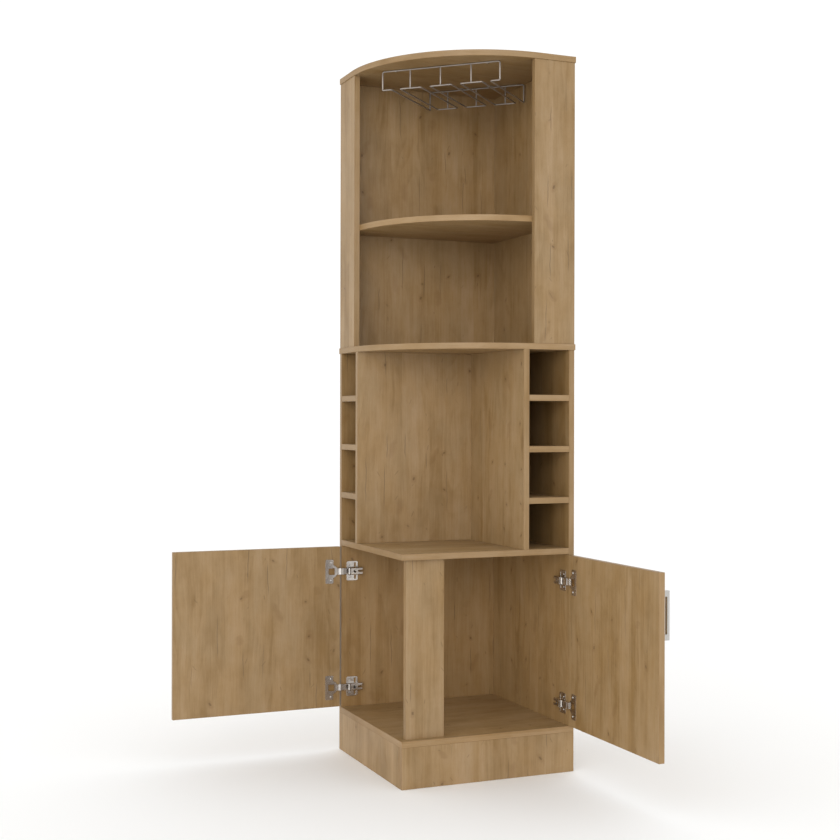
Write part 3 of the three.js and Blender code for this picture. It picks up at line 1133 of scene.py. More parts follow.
@dataclass
class Board:
    """A plain board, in the place of one solid. Its easing is the bevel of its edge bands."""

    node: str
    grain: Grain
    # A factor that paints the whole board lighter or darker: painted light and shade
    shade: float = 1.0
    # A warm tint on the broad faces: painted warm bounce light
    warmth: float = 0.0
    easing: float = 0.5 * MM

    def shape(self) -> bpy.types.Object:
        """Saws the board to its size."""
        low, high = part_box(self.node)
        return block(f"{self.node}_faced", low, high)

    def edge_run(self) -> Run | None:
        """Gives the way along the narrow faces where they are curved, as none is here."""
        return None

    def build(self, finishes: Finishes) -> bpy.types.Object:
        """Builds and dresses the board.

        Args:
            finishes: The cabinet's finishes.

        Returns:
            The piece.
        """
        piece = self.shape()
        ease_edges(piece, self.easing)
        lay_foil(piece, self.grain, self.shade, self.edge_run(), self.warmth)
        smooth(piece, FOIL_ANGLE)
        return hand_over(piece, "carcass", finishes.oak, Slot.OAK, self.node)


@dataclass
class RoundedBoard(Board):
    """A square board whose room-side corner is rounded."""

    radius: float = 370 * MM
    segments: int = 64

    def shape(self) -> bpy.types.Object:
        """Saws the board and rounds its corner.

        Returns:
            The piece.
        """
        piece = super().shape()
        low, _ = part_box(self.node)

        def at_corner(first: Vector, second: Vector) -> bool:
            """Tells the upright edge at the room-side corner."""
            return all(abs(end.x - low.x) < NEAR and abs(end.y - low.y) < NEAR for end in (first, second))

        round_edges(piece, at_corner, self.radius, self.segments)
        return piece

    def edge_run(self) -> Run:
        """Gives the way along the narrow faces: left side, rounding and front are one strip.

        Returns:
            What tells how far along the strip a point lies.
        """
        low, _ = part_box(self.node)
        centre = Vector((low.x + self.radius, low.y + self.radius))

        def run(point: Vector, normal: Vector) -> float:
            """Measures along the strip.

            Args:
                point: The point.
                normal: The normal of its face.

            Returns:
                How far along it lies.
            """
            outward = Vector((normal.x, normal.y)).normalized()
            if outward.x > FACING:
                return point.y
            if outward.y > FACING:
                return point.x
            if outward.x < -SQUARE:
                return centre.y - point.y
            if outward.y < -SQUARE:
                return self.radius * math.pi / 2 + point.x - centre.x
            turn = math.atan2(point.y - centre.y, point.x - centre.x) % (2 * math.pi)
            return self.radius * (turn - math.pi)

        return run


@dataclass
class CurvedShelf(RoundedBoard):
    """The upper shelf: its front is an arc from cheek to cheek about the centre of the top's rounding."""

    centre: float = -96 * MM
    lead_in: float = -113 * MM

    def shape(self) -> bpy.types.Object:
        """Rounds the corner, and then moves the rounding out onto the shelf's own arc.

        Returns:
            The piece.
        """
        low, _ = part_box(self.node)
        self.radius = self.lead_in - low.x
        piece = super().shape()
        true_radius = math.hypot(low.x - self.centre, self.lead_in - self.centre)
        limit = self.lead_in + NEAR
        for vertex in piece.data.vertices:
            offset = Vector((vertex.co.x - self.centre, vertex.co.y - self.centre))
            if vertex.co.x < limit and vertex.co.y < limit:
                offset *= true_radius / offset.length
                vertex.co.x, vertex.co.y = self.centre + offset.x, self.centre + offset.y
        return piece

    def edge_run(self) -> Run:
        """Gives the way along the front as the turn about the arc's centre.

        Returns:
            What tells how far along the narrow faces a point lies.
        """
        def run(point: Vector, normal: Vector) -> float:
            """Measures along the arc, or along a straight side.

            Args:
                point: The point.
                normal: The normal of its face.

            Returns:
                How far along it lies.
            """
            if normal.x > FACING or normal.x < -SQUARE:
                return point.y
            if normal.y > FACING or normal.y < -SQUARE:
                return point.x
            turn = math.atan2(point.y - self.centre, point.x - self.centre) % (2 * math.pi)
            return self.radius * (turn - math.pi)

        return run


@dataclass
class Carcass:
    """All the fixed boards. Shades paint single boards lighter or darker as painted light and shade, and
    warm bounces tint the broad faces of the wall panels warmer as painted warm bounce light.
    """

    upright: tuple[str, ...] = (
        "plinth_rail_right", "plinth_rail_left", "plinth_rail_back_left", "plinth_rail_back_right",
        "wall_panel_left", "wall_panel_right", "corner_post", "bay_panel_left", "bay_panel_right",
        "upper_wall_left", "upper_wall_right", "cheek_left", "cheek_right",
    )
    along_x: tuple[str, ...] = ("bottom_board", "counter_board")
    left_shelves: tuple[str, ...] = ("cubby_shelf_left_1", "cubby_shelf_left_2", "cubby_shelf_left_3")
    right_shelves: tuple[str, ...] = ("cubby_shelf_right_1", "cubby_shelf_right_2", "cubby_shelf_right_3")
    # Boards painted lighter or darker for how the light falls on them: painted light and shade
    shades: dict[str, float] = field(default_factory=lambda: {
        "cheek_right": 0.935, "wall_panel_right": 0.92, "wall_panel_left": 0.93, "corner_post": 0.975,
        "plinth_rail_left": 1.08, "bottom_board": 1.1, "upper_shelf": 1.09, "upper_wall_left": 1.1,
        "upper_wall_right": 1.04,
    })
    # Wall panels whose broad faces are tinted warmer: painted warm bounce light
    painted_bounces: dict[str, float] = field(default_factory=lambda: {
        "wall_panel_left": 1.7, "wall_panel_right": 1.15,
    })

    def build(self, finishes: Finishes) -> None:
        """Builds every board of the carcass.

        Args:
            finishes: The cabinet's finishes.
        """
        boards = [Board(node, Grain.UPRIGHT) for node in self.upright]
        boards += [Board(node, Grain.ALONG_X) for node in self.along_x + self.left_shelves]
        boards += [Board(node, Grain.ALONG_Y) for node in self.right_shelves]
        boards += [RoundedBoard("mid_shelf", Grain.ALONG_X), RoundedBoard("top_board", Grain.ALONG_X)]
        boards.append(CurvedShelf("upper_shelf", Grain.ALONG_X))
        for board in boards:
            board.shade = self.shades.get(board.node, 1.0)
            board.warmth = self.painted_bounces.get(board.node, 0.0)
            board.build(finishes)


# Door sides


@dataclass
class DoorSide:
    """One door side: its own frame, and where the open door's face and the line of its cups lie in it.

    In the frame, X stands off the wall panel's inner face into the cabinet, Y runs back from the face plane
    along the wall panel, and Z is up.
    """

    hand: Hand
    side: float = 464 * MM
    board: float = 15 * MM
    open_face: float = 3 * MM
    cup_line: float = -29 * MM
    levels: dict[str, float] = field(default_factory=lambda: {"upper": 479 * MM, "lower": 169 * MM})

    def frame(self) -> Matrix:
        """The frame of this side in the cabinet's own.

        Returns:
            The frame, which mirrors on the right.
        """
        if self.hand is Hand.LEFT:
            turn = Matrix(((0, 1, 0), (-1, 0, 0), (0, 0, 1)))
            return Matrix.Translation((-self.side, -self.board, 0)) @ turn.to_4x4()
        turn = Matrix(((-1, 0, 0), (0, 1, 0), (0, 0, 1)))
        return Matrix.Translation((-self.board, -self.side, 0)) @ turn.to_4x4()

    def place(self, point: Sequence[float]) -> Vector:
        """Takes a point of this side's frame into the cabinet's own."""
        return self.frame() @ Vector(point)

    def door_body(self) -> str:
        """The body of this side's door."""
        return f"door_{self.hand.value}"

    def link_body(self) -> str:
        """The body of this side's hinge links."""
        return f"{self.hand.value}_hinge_links"


@dataclass
class Door:
    """A door leaf with the mortises of its two hinge cups."""

    side: DoorSide
    mortise_radius: float = 18.1 * MM
    mortise_depth: float = 11.3 * MM
    easing: float = 0.6 * MM
    # The right door is painted lighter: painted light
    shades: dict[Hand, float] = field(default_factory=lambda: {Hand.LEFT: 1.0, Hand.RIGHT: 1.05})

    def build(self, finishes: Finishes) -> bpy.types.Object:
        """Builds and dresses the leaf.

        Args:
            finishes: The cabinet's finishes.

        Returns:
            The piece.
        """
        node = f"door_{self.side.hand.value}"
        low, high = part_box(node)
        piece = block(f"{node}_leaf", low, high)
        ease_edges(piece, self.easing)
        cutters = []
        for name, level in self.side.levels.items():
            floor = self.side.place((self.side.open_face - self.mortise_depth, self.side.cup_line, level))
            mouth = self.side.place((self.side.open_face + MM, self.side.cup_line, level))
            cutters.append(rod(f"mortise_{name}", floor, mouth, self.mortise_radius, 48))
        cut_out(piece, cutters)
        lay_foil(piece, Grain.UPRIGHT, self.shades[self.side.hand])
        smooth(piece, FOIL_ANGLE)
        return hand_over(piece, self.side.door_body(), finishes.oak, Slot.OAK, node)


@dataclass
class Handle:
    """A bridge handle: one bar bent over two feet."""

    side: DoorSide
    bar: float = 6.5 * MM
    foot: float = 14 * MM
    corner: float = 1.6 * MM
    easing: float = 0.6 * MM

    def build(self, finishes: Finishes) -> bpy.types.Object:
        """Builds and dresses the handle.

        Args:
            finishes: The cabinet's finishes.

        Returns:
            The piece.
        """
        node = f"handle_{self.side.hand.value}"
        low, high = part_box(node)
        piece = block(f"{node}_bar", low, high)
        out, across = (0, 1) if self.side.hand is Hand.RIGHT else (1, 0)

        def outer_ends(first: Vector, second: Vector) -> bool:
            """Tells the two short edges at the bar's outer corners."""
            outside = min(first[out], second[out]) > high[out] - NEAR
            return outside and abs(first.z - second.z) < NEAR and abs(first[across] - second[across]) > NEAR

        round_edges(piece, outer_ends, self.corner, 8)
        hollow_low, hollow_high = low.copy(), high.copy()
        hollow_low[out] -= MM
        hollow_high[out] -= self.bar
        hollow_low[across] -= MM
        hollow_high[across] += MM
        hollow_low.z += self.foot
        hollow_high.z -= self.foot
        cut_out(piece, [block("handle_hollow", hollow_low, hollow_high)])
        ease_edges(piece, self.easing, 3, 40)
        polish(piece, 40)
        return hand_over(piece, self.side.door_body(), finishes.satin, Slot.SATIN, node)


@dataclass
class HingeKit:
    """The parts of a cup hinge, each modelled once in a door side's frame at level zero.

    Lines are distances back from the face plane, and spacings part the two of a pair of screws. A pair of
    numbers for the pin and the link's tip is a place: how far off the wall, and how far back.
    """

    plate_setback: float = 14 * MM
    plate_width: float = 32 * MM
    plate_height: float = 52 * MM
    plate_thickness: float = 1.6 * MM
    plate_corner: float = 4.6 * MM
    plate_screw_line: float = 37.8 * MM
    plate_hole_line: float = 22.3 * MM
    plate_spacing: float = 32 * MM
    plate_rim: float = 0.35 * MM
    slot_size: tuple[float, float] = (5 * MM, 12 * MM)
    slot_corner: float = 2.2 * MM
    hole_radius: float = 2 * MM
    arm_front: float = 16.8 * MM
    arm_length: float = 38 * MM
    arm_width: float = 20 * MM
    arm_wall: float = 1.5 * MM
    arm_crown: float = 15.5 * MM
    arm_tail: float = 14 * MM
    arm_shoulder: float = 22.2 * MM
    arm_rounding: float = 2.6 * MM
    arm_inner_rounding: float = 1.43 * MM
    arm_rim: float = 0.3 * MM
    arm_screw_line: float = 25.3 * MM
    arm_window_line: float = 33.5 * MM
    arm_window_radius: float = 4.5 * MM
    tail_slot: tuple[float, float] = (13 * MM, 5.6 * MM)
    tail_rounding: float = 5.6 / 2.2 * MM
    pin: tuple[float, float] = (9.5 * MM, 20 * MM)
    pin_radius: float = 1.6 * MM
    pin_rim: float = 0.45 * MM
    pin_fit: float = 0.15 * MM
    link_width: float = 16.4 * MM
    link_thickness: float = 2.4 * MM
    link_rim: float = 0.4 * MM
    link_tip: tuple[float, float] = (5.7 * MM, -14 * MM)
    ridge_rise: float = 2 * MM
    ridge_back_rise: float = 2.1 * MM
    ridge_foot_rise: float = 0.1 * MM
    ridge_lines: tuple[float, ...] = (-8.6 * MM, -4.6 * MM, 2.6 * MM, 4.4 * MM)
    knee: tuple[float, float] = (8.6 * MM, 10.5 * MM)
    link_end: tuple[float, float] = (9.3 * MM, 18.8 * MM)
    link_window: tuple[float, float] = (11.4 * MM, 15.6 * MM)
    link_window_width: float = 10.8 * MM
    eye_radius: float = 3.2 * MM
    eye_wall: float = 0.4 * MM
    eye_rim: float = 0.3 * MM
    cup_radius: float = 17.5 * MM
    cup_depth: float = 11 * MM
    cup_wall: float = 1.2 * MM
    cup_rounding: float = 1.5 * MM
    flange_thickness: float = 1.2 * MM
    flange_width: float = 22 * MM
    flange_height: float = 64 * MM
    flange_corner: float = 3 * MM
    flange_offset: float = 6 * MM
    flange_screw_offset: float = 1.5 * MM
    flange_spacing: float = 48 * MM
    flange_hole: float = 2.6 * MM
    flange_rim: float = 0.3 * MM
    opening: float = 17 * MM
    opening_corner: float = 1.6 * MM
    screw_head: float = 2.45 * MM
    screw_dome: float = 1.5 * MM
    screw_rounding: float = 1.41 * MM
    screw_seat: float = 1.5 * MM
    screw_shank: tuple[float, float] = (1.3 * MM, 9 * MM)
    screw_lap: float = 0.1 * MM
    cross_slot: tuple[float, float] = (1.3 * MM, 0.3 * MM)
    cross_floor: float = 0.5 * MM
    door_screw_sink: float = 0.25 * MM
    plate_screw_sink: float = 0.2 * MM
    plate_screw_share: float = 0.78

    def stand_up(self, piece: bpy.types.Object, height: float) -> bpy.types.Object:
        """Stands a flat plate against the wall: its first axis runs back, its second up, its thickness out.

        Args:
            piece: The plate, lying on the XY plane.
            height: How far its underside stands off.

        Returns:
            The piece.
        """
        upright = Matrix(((0, 0, 1, height), (1, 0, 0, 0), (0, 1, 0, 0), (0, 0, 0, 1)))
        piece.data.transform(upright)
        return piece

    def make_plate(self) -> bpy.types.Object:
        """The mounting plate, with two slots and two holes.

        Returns:
            The model.
        """
        middle = self.plate_setback + self.plate_width / 2
        rings = [rounded_ring(self.plate_width, self.plate_height, self.plate_corner, (middle, 0.0))]
        for end in (-1, 1):
            height = end * self.plate_spacing / 2
            rings.append(rounded_ring(*self.slot_size, self.slot_corner, (self.plate_screw_line, height)))
            rings.append(circle_ring(self.hole_radius, (self.plate_hole_line, height)))
        return self.stand_up(plate("model_plate", rings, self.plate_thickness, self.plate_rim), 0.0)

    def make_arm(self) -> bpy.types.Object:
        """The arm: a channel that is open at the front, with a window, a screw hole and a forked tail.

        Returns:
            The model.
        """
        half = self.arm_width / 2
        front, tail = self.arm_front, self.arm_front + self.arm_length
        piece = block("model_arm", (self.plate_thickness, front, -half), (self.arm_crown, tail, half))
        self.slope(piece, self.arm_crown, self.arm_tail, tail)

        def long_top(first: Vector, second: Vector) -> bool:
            """Tells the long edges of a channel's back."""
            level = abs(first.z - second.z) < NEAR and abs(first.y - second.y) > MM
            return level and min(first.x, second.x) > self.plate_thickness + MM

        round_edges(piece, long_top, self.arm_rounding, 5)
        inner = half - self.arm_wall
        hollow = block("hollow", (self.plate_thickness - MM, front - MM, -inner),
                       (self.arm_crown - self.arm_wall, tail + MM, inner))
        self.slope(hollow, self.arm_crown - self.arm_wall, self.arm_tail - self.arm_wall, tail + MM)
        round_edges(hollow, long_top, self.arm_inner_rounding, 4)
        top = self.arm_crown + MM
        slot_length, slot_width = self.tail_slot
        fork = block("fork", (0, tail - slot_length, -slot_width / 2), (top, tail + MM, slot_width / 2))
        round_edges(fork, lambda first, second: abs(first.x - second.x) > MM
                    and max(first.y, second.y) < tail, self.tail_rounding, 6)
        screw_line, window_line = self.arm_screw_line, self.arm_window_line
        cut_out(piece, [
            hollow,
            block("mouth", (0, front - MM, -inner), (top, self.arm_shoulder, inner)),
            fork,
            rod("screw_hole", (0, screw_line, 0), (top, screw_line, 0), self.hole_radius, 24),
            rod("window", (0, window_line, 0), (top, window_line, 0), self.arm_window_radius, 32),
            self.cross_rod("pin_hole", half + MM, self.pin_radius + self.pin_fit, 24),
        ])
        ease_edges(piece, self.arm_rim, 2, 50)
        return piece

    def cross_rod(self, name: str, half: float, radius: float, facets: int) -> bpy.types.Object:
        """Adds a rod along the pin's axis."""
        return rod(name, (*self.pin, -half), (*self.pin, half), radius, facets)

    def slope(self, piece: bpy.types.Object, crown: float, tail_height: float, tail: float) -> None:
        """Cuts a block across at the shoulder, and lowers its back from there to the tail.

        Args:
            piece: The block.
            crown: The height of its back at the front.
            tail_height: The height of its back at the tail.
            tail: Where the tail ends.
        """
        take_up(piece)
        bpy.ops.object.mode_set(mode="EDIT")
        bpy.ops.mesh.select_all(action="SELECT")
        bpy.ops.mesh.bisect(plane_co=(0, self.arm_shoulder, 0), plane_no=(0, 1, 0))
        bpy.ops.object.mode_set(mode="OBJECT")
        for vertex in piece.data.vertices:
            if vertex.co.y > tail - MM / 2 and vertex.co.x > crown - MM / 2:
                vertex.co.x = tail_height

    def make_pin(self) -> bpy.types.Object:
        """The pin that the link turns on.

        Returns:
            The model.
        """
        piece = self.cross_rod("model_pin", self.arm_width / 2, self.pin_radius, 28)
        ease_edges(piece, self.pin_rim, 3, 40)
        return piece

    def make_link(self) -> bpy.types.Object:
        """The link: a pressed bar with a raised ridge, a window and an eye round the pin.

        Returns:
            The model.
        """
        half = self.link_width / 2
        height = self.link_tip[0]
        heights = (height + self.ridge_foot_rise, height + self.ridge_rise, height + self.ridge_rise,
                   height + self.ridge_back_rise)
        route = [self.link_tip, *zip(heights, self.ridge_lines), self.knee, self.link_end]
        vertices = [(x, y, side * half) for x, y in route for side in (-1, 1)]
        faces = [(start, start + 1, start + 3, start + 2) for start in range(0, 2 * len(route) - 2, 2)]
        mesh = bpy.data.meshes.new("model_link")
        mesh.from_pydata(vertices, [], faces)
        piece = bpy.data.objects.new("model_link", mesh)
        bpy.context.scene.collection.objects.link(piece)
        finish_with(piece, "SOLIDIFY", thickness=self.link_thickness, offset=0.0)
        merge(piece)
        front, back = self.link_window
        side = self.link_window_width / 2
        cut_out(piece, [
            block("link_window", (0, front, -side), (2 * self.pin[0], back, side)),
            self.cross_rod("link_bore", half + MM, self.eye_radius - self.eye_wall, 28),
        ])
        eye = self.cross_rod("link_eye", half, self.eye_radius, 32)
        cut_out(eye, [self.cross_rod("eye_bore", half + MM, self.pin_radius + self.pin_fit, 28)])
        ease_edges(piece, self.link_rim, 2, 25)
        ease_edges(eye, self.eye_rim, 2, 50)
        return join_up("model_link", [piece, eye])

    def make_flange(self, side: DoorSide) -> bpy.types.Object:
        """The winged flange of the cup, with its square opening and its two screw holes.

        Args:
            side: A door side, for where its door stands.

        Returns:
            The model.
        """
        centre = side.cup_line
        wing = centre - self.flange_offset
        edge = wing + self.flange_width / 2
        spread = math.sqrt(self.cup_radius ** 2 - (edge - centre) ** 2)
        start = math.atan2(spread, edge - centre)
        outline = rounded_ring(self.flange_width, self.flange_height, self.flange_corner, (wing, 0.0))
        right_low = [point for point in outline if point[0] > wing and point[1] < 0]
        right_high = [point for point in outline if point[0] > wing and point[1] > 0]
        left = [point for point in outline if point[0] < wing]
        steps = 14
        turns = [start * (step / steps - 1) for step in range(2 * steps + 1)]
        radius = self.cup_radius
        bulge = [(centre + radius * math.cos(turn), radius * math.sin(turn)) for turn in turns]
        line = centre - self.flange_screw_offset
        rings = [right_high + left + right_low + bulge,
                 rounded_ring(self.opening, self.opening, self.opening_corner, (centre, 0.0))]
        rings += [circle_ring(self.flange_hole, (line, end * self.flange_spacing / 2)) for end in (-1, 1)]
        flange = plate("model_flange", rings, self.flange_thickness, self.flange_rim)
        return self.stand_up(flange, side.open_face)

    def make_bowl(self, side: DoorSide) -> bpy.types.Object:
        """The cup itself: a round shell let into the door.

        Args:
            side: A door side, for where its door stands.

        Returns:
            The model.
        """
        face, line = side.open_face, side.cup_line
        floor = face - self.cup_depth
        piece = rod("model_bowl", (floor, line, 0), (face, line, 0), self.cup_radius, 48)
        round_edges(piece, lambda first, second: max(first.x, second.x) < floor + NEAR, self.cup_rounding, 3)
        cut_out(piece, [rod("bowl_hollow", (floor + self.cup_wall, line, 0), (face + MM, line, 0),
                            self.cup_radius - self.cup_wall, 48)])
        return piece

    def make_screw(self) -> bpy.types.Object:
        """A screw with a domed head and a cross recess, its seat at the origin and its axis along X.

        Returns:
            The model.
        """
        dome = self.screw_dome
        head = rod("model_screw", (-self.screw_seat, 0, 0), (dome, 0, 0), self.screw_head, 24)
        round_edges(head, lambda first, second: min(first.x, second.x) > dome - NEAR,
                    self.screw_rounding, 5)
        radius, length = self.screw_shank
        lap = self.screw_lap - self.screw_seat
        shank = rod("screw_shank", (-length, 0, 0), (lap, 0, 0), radius, 16)
        cut_out(head, [block("slot", (self.cross_floor, -half_y, -half_z), (dome + MM, half_y, half_z))
                       for half_y, half_z in (self.cross_slot, self.cross_slot[::-1])])
        return join_up("model_screw", [head, shank])

    def build(self, sides: Sequence[DoorSide], finishes: Finishes) -> None:
        """Models each part once and copies it to all four hinges.

        Args:
            sides: The two door sides.
            finishes: The cabinet's finishes.
        """
        models = {
            "plate": self.make_plate(), "arm": self.make_arm(), "pin": self.make_pin(),
            "link": self.make_link(), "cup": self.make_flange(sides[0]), "bowl": self.make_bowl(sides[0]),
            "screw": self.make_screw(),
        }
        for model in models.values():
            merge(model)
        for side in sides:
            for position, level in side.levels.items():
                place = side.frame() @ Matrix.Translation((0, 0, level))
                suffix = f"{side.hand.value}_{position}"
                bodies = {"plate": "carcass", "arm": "carcass", "pin": "carcass",
                          "link": side.link_body(), "cup": side.door_body()}
                for part, body in bodies.items():
                    piece = stamped(models[part], f"{part}_{suffix}_pressed", place)
                    polish(piece)
                    hand_over(piece, body, finishes.nickel, Slot.HINGE, f"hinge_{part}_{suffix}")
                bowl = stamped(models["bowl"], f"bowl_{suffix}", place)
                polish(bowl)
                hand_over(bowl, side.door_body(), finishes.yellow, Slot.HINGE)
                self.drive_screws(models["screw"], suffix, place, side, finishes)
        for model in models.values():
            scrap(model)

    def drive_screws(self, model: bpy.types.Object, suffix: str, place: Matrix, side: DoorSide,
                     finishes: Finishes) -> None:
        """Puts the four screws of one hinge in.

        Args:
            model: The screw, modelled once.
            suffix: The hinge's name.
            place: The hinge's frame.
            side: The hinge's door side.
            finishes: The cabinet's finishes.
        """
        lid = side.open_face + self.flange_thickness - self.door_screw_sink
        line = side.cup_line - self.flange_screw_offset
        seats = [(lid, line, end * self.flange_spacing / 2, side.door_body()) for end in (-1, 1)]
        top = self.plate_thickness - self.plate_screw_sink
        seats += [(top, self.plate_hole_line, end * self.plate_spacing / 2, "carcass") for end in (-1, 1)]
        for number, (height, depth, level, body) in enumerate(seats, 1):
            seat = place @ Matrix.Translation((height, depth, level))
            if body == "carcass":
                seat = seat @ Matrix.Diagonal((1.0, self.plate_screw_share, self.plate_screw_share, 1.0))
            piece = stamped(model, f"hinge_screw_{suffix}_{number}", seat)
            smooth(piece, 40)
            hand_over(piece, body, finishes.bright, Slot.HINGE)


# Stemware rack


@dataclass
class StemRack:
    """The wire rack under the top. Its frame has X along the rails, Y towards the room corner and Z up.

    The spans and tabs are half distances from the rack's middle, and a weld's swell is in wire radii.
    """

    level: float = 1784.7 * MM
    wire_radius: float = 2 * MM
    bend: float = 5 * MM
    front: float = -421.76 * MM
    rear: float = -164.79 * MM
    front_span: float = 160.8 * MM
    rear_span: float = 135.8 * MM
    pitch: float = 83.5 * MM
    loop_width: float = 58 * MM
    drop: float = 47.5 * MM
    rail_weld: tuple[float, float, float] = (1.12, 1.12, 1.0)
    loop_weld: tuple[float, float, float] = (1.25, 1.25, 0.7)
    weld_rise_share: float = 0.9
    foot_rise_share: float = 0.6
    tab: tuple[float, float, float] = (17 * MM, 12 * MM, 1.6 * MM)
    tab_corner: float = 2.4 * MM
    tab_rim: float = 0.3 * MM
    tab_hole: float = 2.3 * MM
    front_tab: float = 127.03 * MM
    rear_tab: float = 41.75 * MM
    screw_head: float = 3.6 * MM
    screw_height: float = 2 * MM
    screw_rounding: float = 1.3 * MM
    screw_slot: tuple[float, float] = (2 * MM, 0.42 * MM)
    screw_slot_depth: float = 1.1 * MM
    screw_gap: float = 0.3 * MM
    screw_shank: float = 1.7 * MM
    screw_length: float = 9.9 * MM
    screw_lap: float = 0.2 * MM

    def frame(self) -> Matrix:
        """The rack's frame in the cabinet's own."""
        return Matrix.Translation((0, 0, self.level)) @ Matrix.Rotation(math.radians(-45), 4, "Z")

    def rail(self, name: str, y: float, span: float, tab_x: float, tab_side: int) -> bpy.types.Object:
        """A rail bent down at both ends, with three droppers between, its welds and its tabs.

        Args:
            name: The rail's name.
            y: Where it lies.
            span: Half its length.
            tab_x: How far its tabs lie from its middle.
            tab_side: The side of the rail that they point to.

        Returns:
            The piece.
        """
        high = -self.wire_radius
        low = high - self.drop
        foot = low + self.wire_radius * self.foot_rise_share
        bead = low + self.wire_radius * self.weld_rise_share
        corners = [Vector(point) for point in (
            (-span, y, foot), (-span, y, high), (span, y, high), (span, y, foot))]
        parts = [wire(name, bent_route(corners, self.bend, False), self.wire_radius)]
        for x in (-self.pitch, 0.0, self.pitch):
            parts.append(wire("dropper", [Vector((x, y, high)), Vector((x, y, foot))], self.wire_radius))
            parts.append(self.weld((x, y, high), self.rail_weld))
            parts.append(self.weld((x, y, bead), self.loop_weld))
        parts += [self.weld((x, y, bead), self.loop_weld) for x in (-span, span)]
        length, width, thickness = self.tab
        for x in (-tab_x, tab_x):
            middle = y + tab_side * width / 2
            outline = rounded_ring(length, width, self.tab_corner, (x, middle))
            tab = plate("tab", [outline, circle_ring(self.tab_hole, (x, middle))], thickness, self.tab_rim)
            tab.data.transform(Matrix.Translation((0, 0, -thickness)))
            parts.append(tab)
        return join_up(name, parts)

    def weld(self, place: Sequence[float], swell: Sequence[float]) -> bpy.types.Object:
        """A small bead of weld.

        Args:
            place: Its middle.
            swell: Its half size on each axis, in wire radii.

        Returns:
            The bead.
        """
        bpy.ops.object.select_all(action="DESELECT")
        bpy.ops.mesh.primitive_uv_sphere_add(segments=16, ring_count=10, radius=self.wire_radius,
                                             location=place)
        piece = bpy.context.object
        piece.scale = swell
        return settle(piece)

    def build(self, finishes: Finishes) -> None:
        """Builds the rails, the loops, the side wires and the screws.

        Args:
            finishes: The cabinet's finishes.
        """
        low = -self.wire_radius - self.drop
        half = self.loop_width / 2
        pieces = {
            "rack_front_rail": self.rail("front_rail", self.front, self.front_span, self.front_tab, 1),
            "rack_rear_rail": self.rail("rear_rail", self.rear, self.rear_span, self.rear_tab, -1),
        }
        for number, x in enumerate((-self.pitch, 0.0, self.pitch), 1):
            corners = [Vector((x - half, self.front, low)), Vector((x + half, self.front, low)),
                       Vector((x + half, self.rear, low)), Vector((x - half, self.rear, low))]
            route = bent_route(corners, self.bend, True)
            pieces[f"rack_loop_{number}"] = wire(f"loop_{number}", route, self.wire_radius, True)
        for name, hand in (("left", -1), ("right", 1)):
            corners = [Vector((hand * self.front_span, self.front, low)),
                       Vector((hand * self.rear_span, self.front, low)),
                       Vector((hand * self.rear_span, self.rear, low))]
            route = bent_route(corners, self.bend, False)
            pieces[f"rack_side_{name}"] = wire(f"side_{name}", route, self.wire_radius)
        for node, piece in pieces.items():
            piece.name = piece.data.name = f"{node}_wire"
            piece.data.transform(self.frame())
            polish(piece, 45)
            hand_over(piece, "carcass", finishes.chrome, Slot.WIRE, node)
        self.drive_screws(finishes)

    def drive_screws(self, finishes: Finishes) -> None:
        """Puts a pan-head screw through each tab.

        Args:
            finishes: The cabinet's finishes.
        """
        _, width, thickness = self.tab
        top = -thickness - self.screw_gap
        lowest = top - self.screw_height
        slot_top = lowest + self.screw_slot_depth
        head = rod("model_pan", (0, 0, lowest), (0, 0, top), self.screw_head, 32)
        round_edges(head, lambda first, second: max(first.z, second.z) < lowest + NEAR,
                    self.screw_rounding, 5)
        cut_out(head, [block("slot", (-half_x, -half_y, lowest - MM), (half_x, half_y, slot_top))
                       for half_x, half_y in (self.screw_slot, self.screw_slot[::-1])])
        shank = rod("pan_shank", (0, 0, top - self.screw_lap), (0, 0, self.screw_length),
                    self.screw_shank, 20)
        model = join_up("model_pan", [head, shank])
        merge(model)
        rows = {
            "front": (self.front + width / 2, self.front_tab),
            "rear": (self.rear - width / 2, self.rear_tab),
        }
        for row, (y, reach) in rows.items():
            for number, x in enumerate((-reach, reach), 1):
                place = self.frame() @ Matrix.Translation((x, y, 0))
                piece = stamped(model, f"rack_screw_{row}_{number}_pan", place)
                polish(piece)
                hand_over(piece, "carcass", finishes.nickel, Slot.HINGE, f"rack_screw_{row}_{number}")
        scrap(model)


# Studio


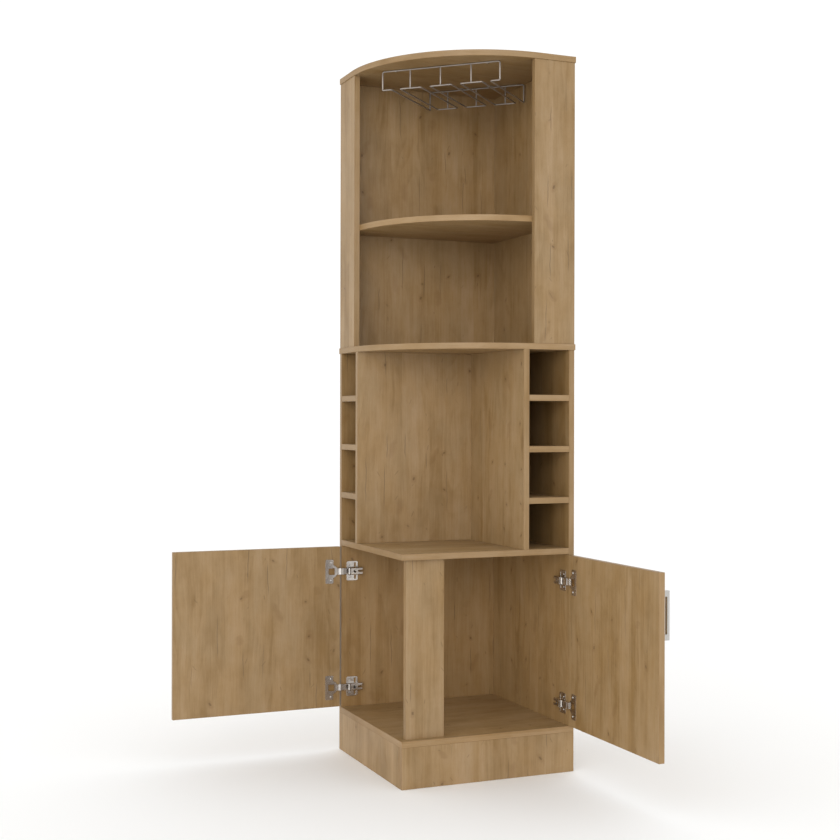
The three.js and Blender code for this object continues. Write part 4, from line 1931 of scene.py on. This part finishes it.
@dataclass
class Studio:
    """The camera, the floor and the lights.

    Angles are in degrees, but for the camera's roll in radians. middle is the picture point, in pixels,
    that the camera looks straight at.
    """

    eye: tuple[float, float, float] = (-1.672, -3.582, 0.8855)
    heading: float = -23.82
    roll: float = 0.0022
    focal_pixels: float = 1400.0
    sensor: float = 36.0
    middle: tuple[float, float] = (467.0, 419.6)
    floor_side: float = 120.0
    sky: float = 1.06
    front_way: tuple[float, float, float] = (0.6, 0.84, -0.02)
    front_power: float = 1.79
    front_spread: float = 50.0

    def build(self, finishes: Finishes) -> None:
        """Builds the studio.

        Args:
            finishes: The cabinet's finishes.
        """
        self.set_camera()
        self.lay_floor(finishes)
        self.light()

    def set_camera(self) -> None:
        """Sets the camera at the photograph's place and angle."""
        lens = bpy.data.cameras.new("camera")
        lens.sensor_width = self.sensor
        lens.sensor_fit = "HORIZONTAL"
        lens.lens = self.focal_pixels / IMAGE_SIDE * lens.sensor_width
        half = IMAGE_SIDE / 2
        lens.shift_x = (half - self.middle[0]) / IMAGE_SIDE
        lens.shift_y = (self.middle[1] - half) / IMAGE_SIDE
        camera = bpy.data.objects.new("camera", lens)
        bpy.context.scene.collection.objects.link(camera)
        camera.matrix_world = (
            Matrix.Translation(self.eye) @ Matrix.Rotation(math.radians(self.heading), 4, "Z")
            @ Matrix.Rotation(math.radians(90), 4, "X") @ Matrix.Rotation(self.roll, 4, "Z")
        )
        bpy.context.scene.camera = camera

    def lay_floor(self, finishes: Finishes) -> None:
        """Lays the floor.

        Args:
            finishes: The cabinet's finishes.
        """
        bpy.ops.object.select_all(action="DESELECT")
        bpy.ops.mesh.primitive_plane_add(size=self.floor_side, location=(0, 0, 0))
        floor = settle(bpy.context.object)
        floor.name = floor.data.name = "studio_floor"
        floor.data.materials.append(finishes.floor)

    def light(self) -> None:
        """Lights the cabinet with an even sky and one wide, level light from the front."""
        world = bpy.data.worlds.new("studio_sky")
        world.use_nodes = True
        sky = world.node_tree.nodes["Background"]
        sky.inputs["Color"].default_value = (1.0, 1.0, 1.0, 1.0)
        sky.inputs["Strength"].default_value = self.sky
        bpy.context.scene.world = world
        bpy.context.scene.view_settings.view_transform = "Standard"
        data = bpy.data.lights.new("front_light", "SUN")
        data.energy = self.front_power
        data.angle = math.radians(self.front_spread)
        lamp = bpy.data.objects.new("front_light", data)
        bpy.context.scene.collection.objects.link(lamp)
        lamp.matrix_world = Vector(self.front_way).to_track_quat("-Z", "Y").to_matrix().to_4x4()


def main() -> None:
    """Builds the cabinet and its studio."""
    logging.basicConfig(level=logging.INFO, format="%(name)s: %(message)s")
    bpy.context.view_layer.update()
    finishes = Finishes()
    Carcass().build(finishes)
    sides = [DoorSide(Hand.LEFT), DoorSide(Hand.RIGHT)]
    for side in sides:
        Door(side).build(finishes)
        Handle(side).build(finishes)
    HingeKit().build(sides, finishes)
    StemRack().build(finishes)
    Studio().build(finishes)


if __name__ == "__main__":
    main()
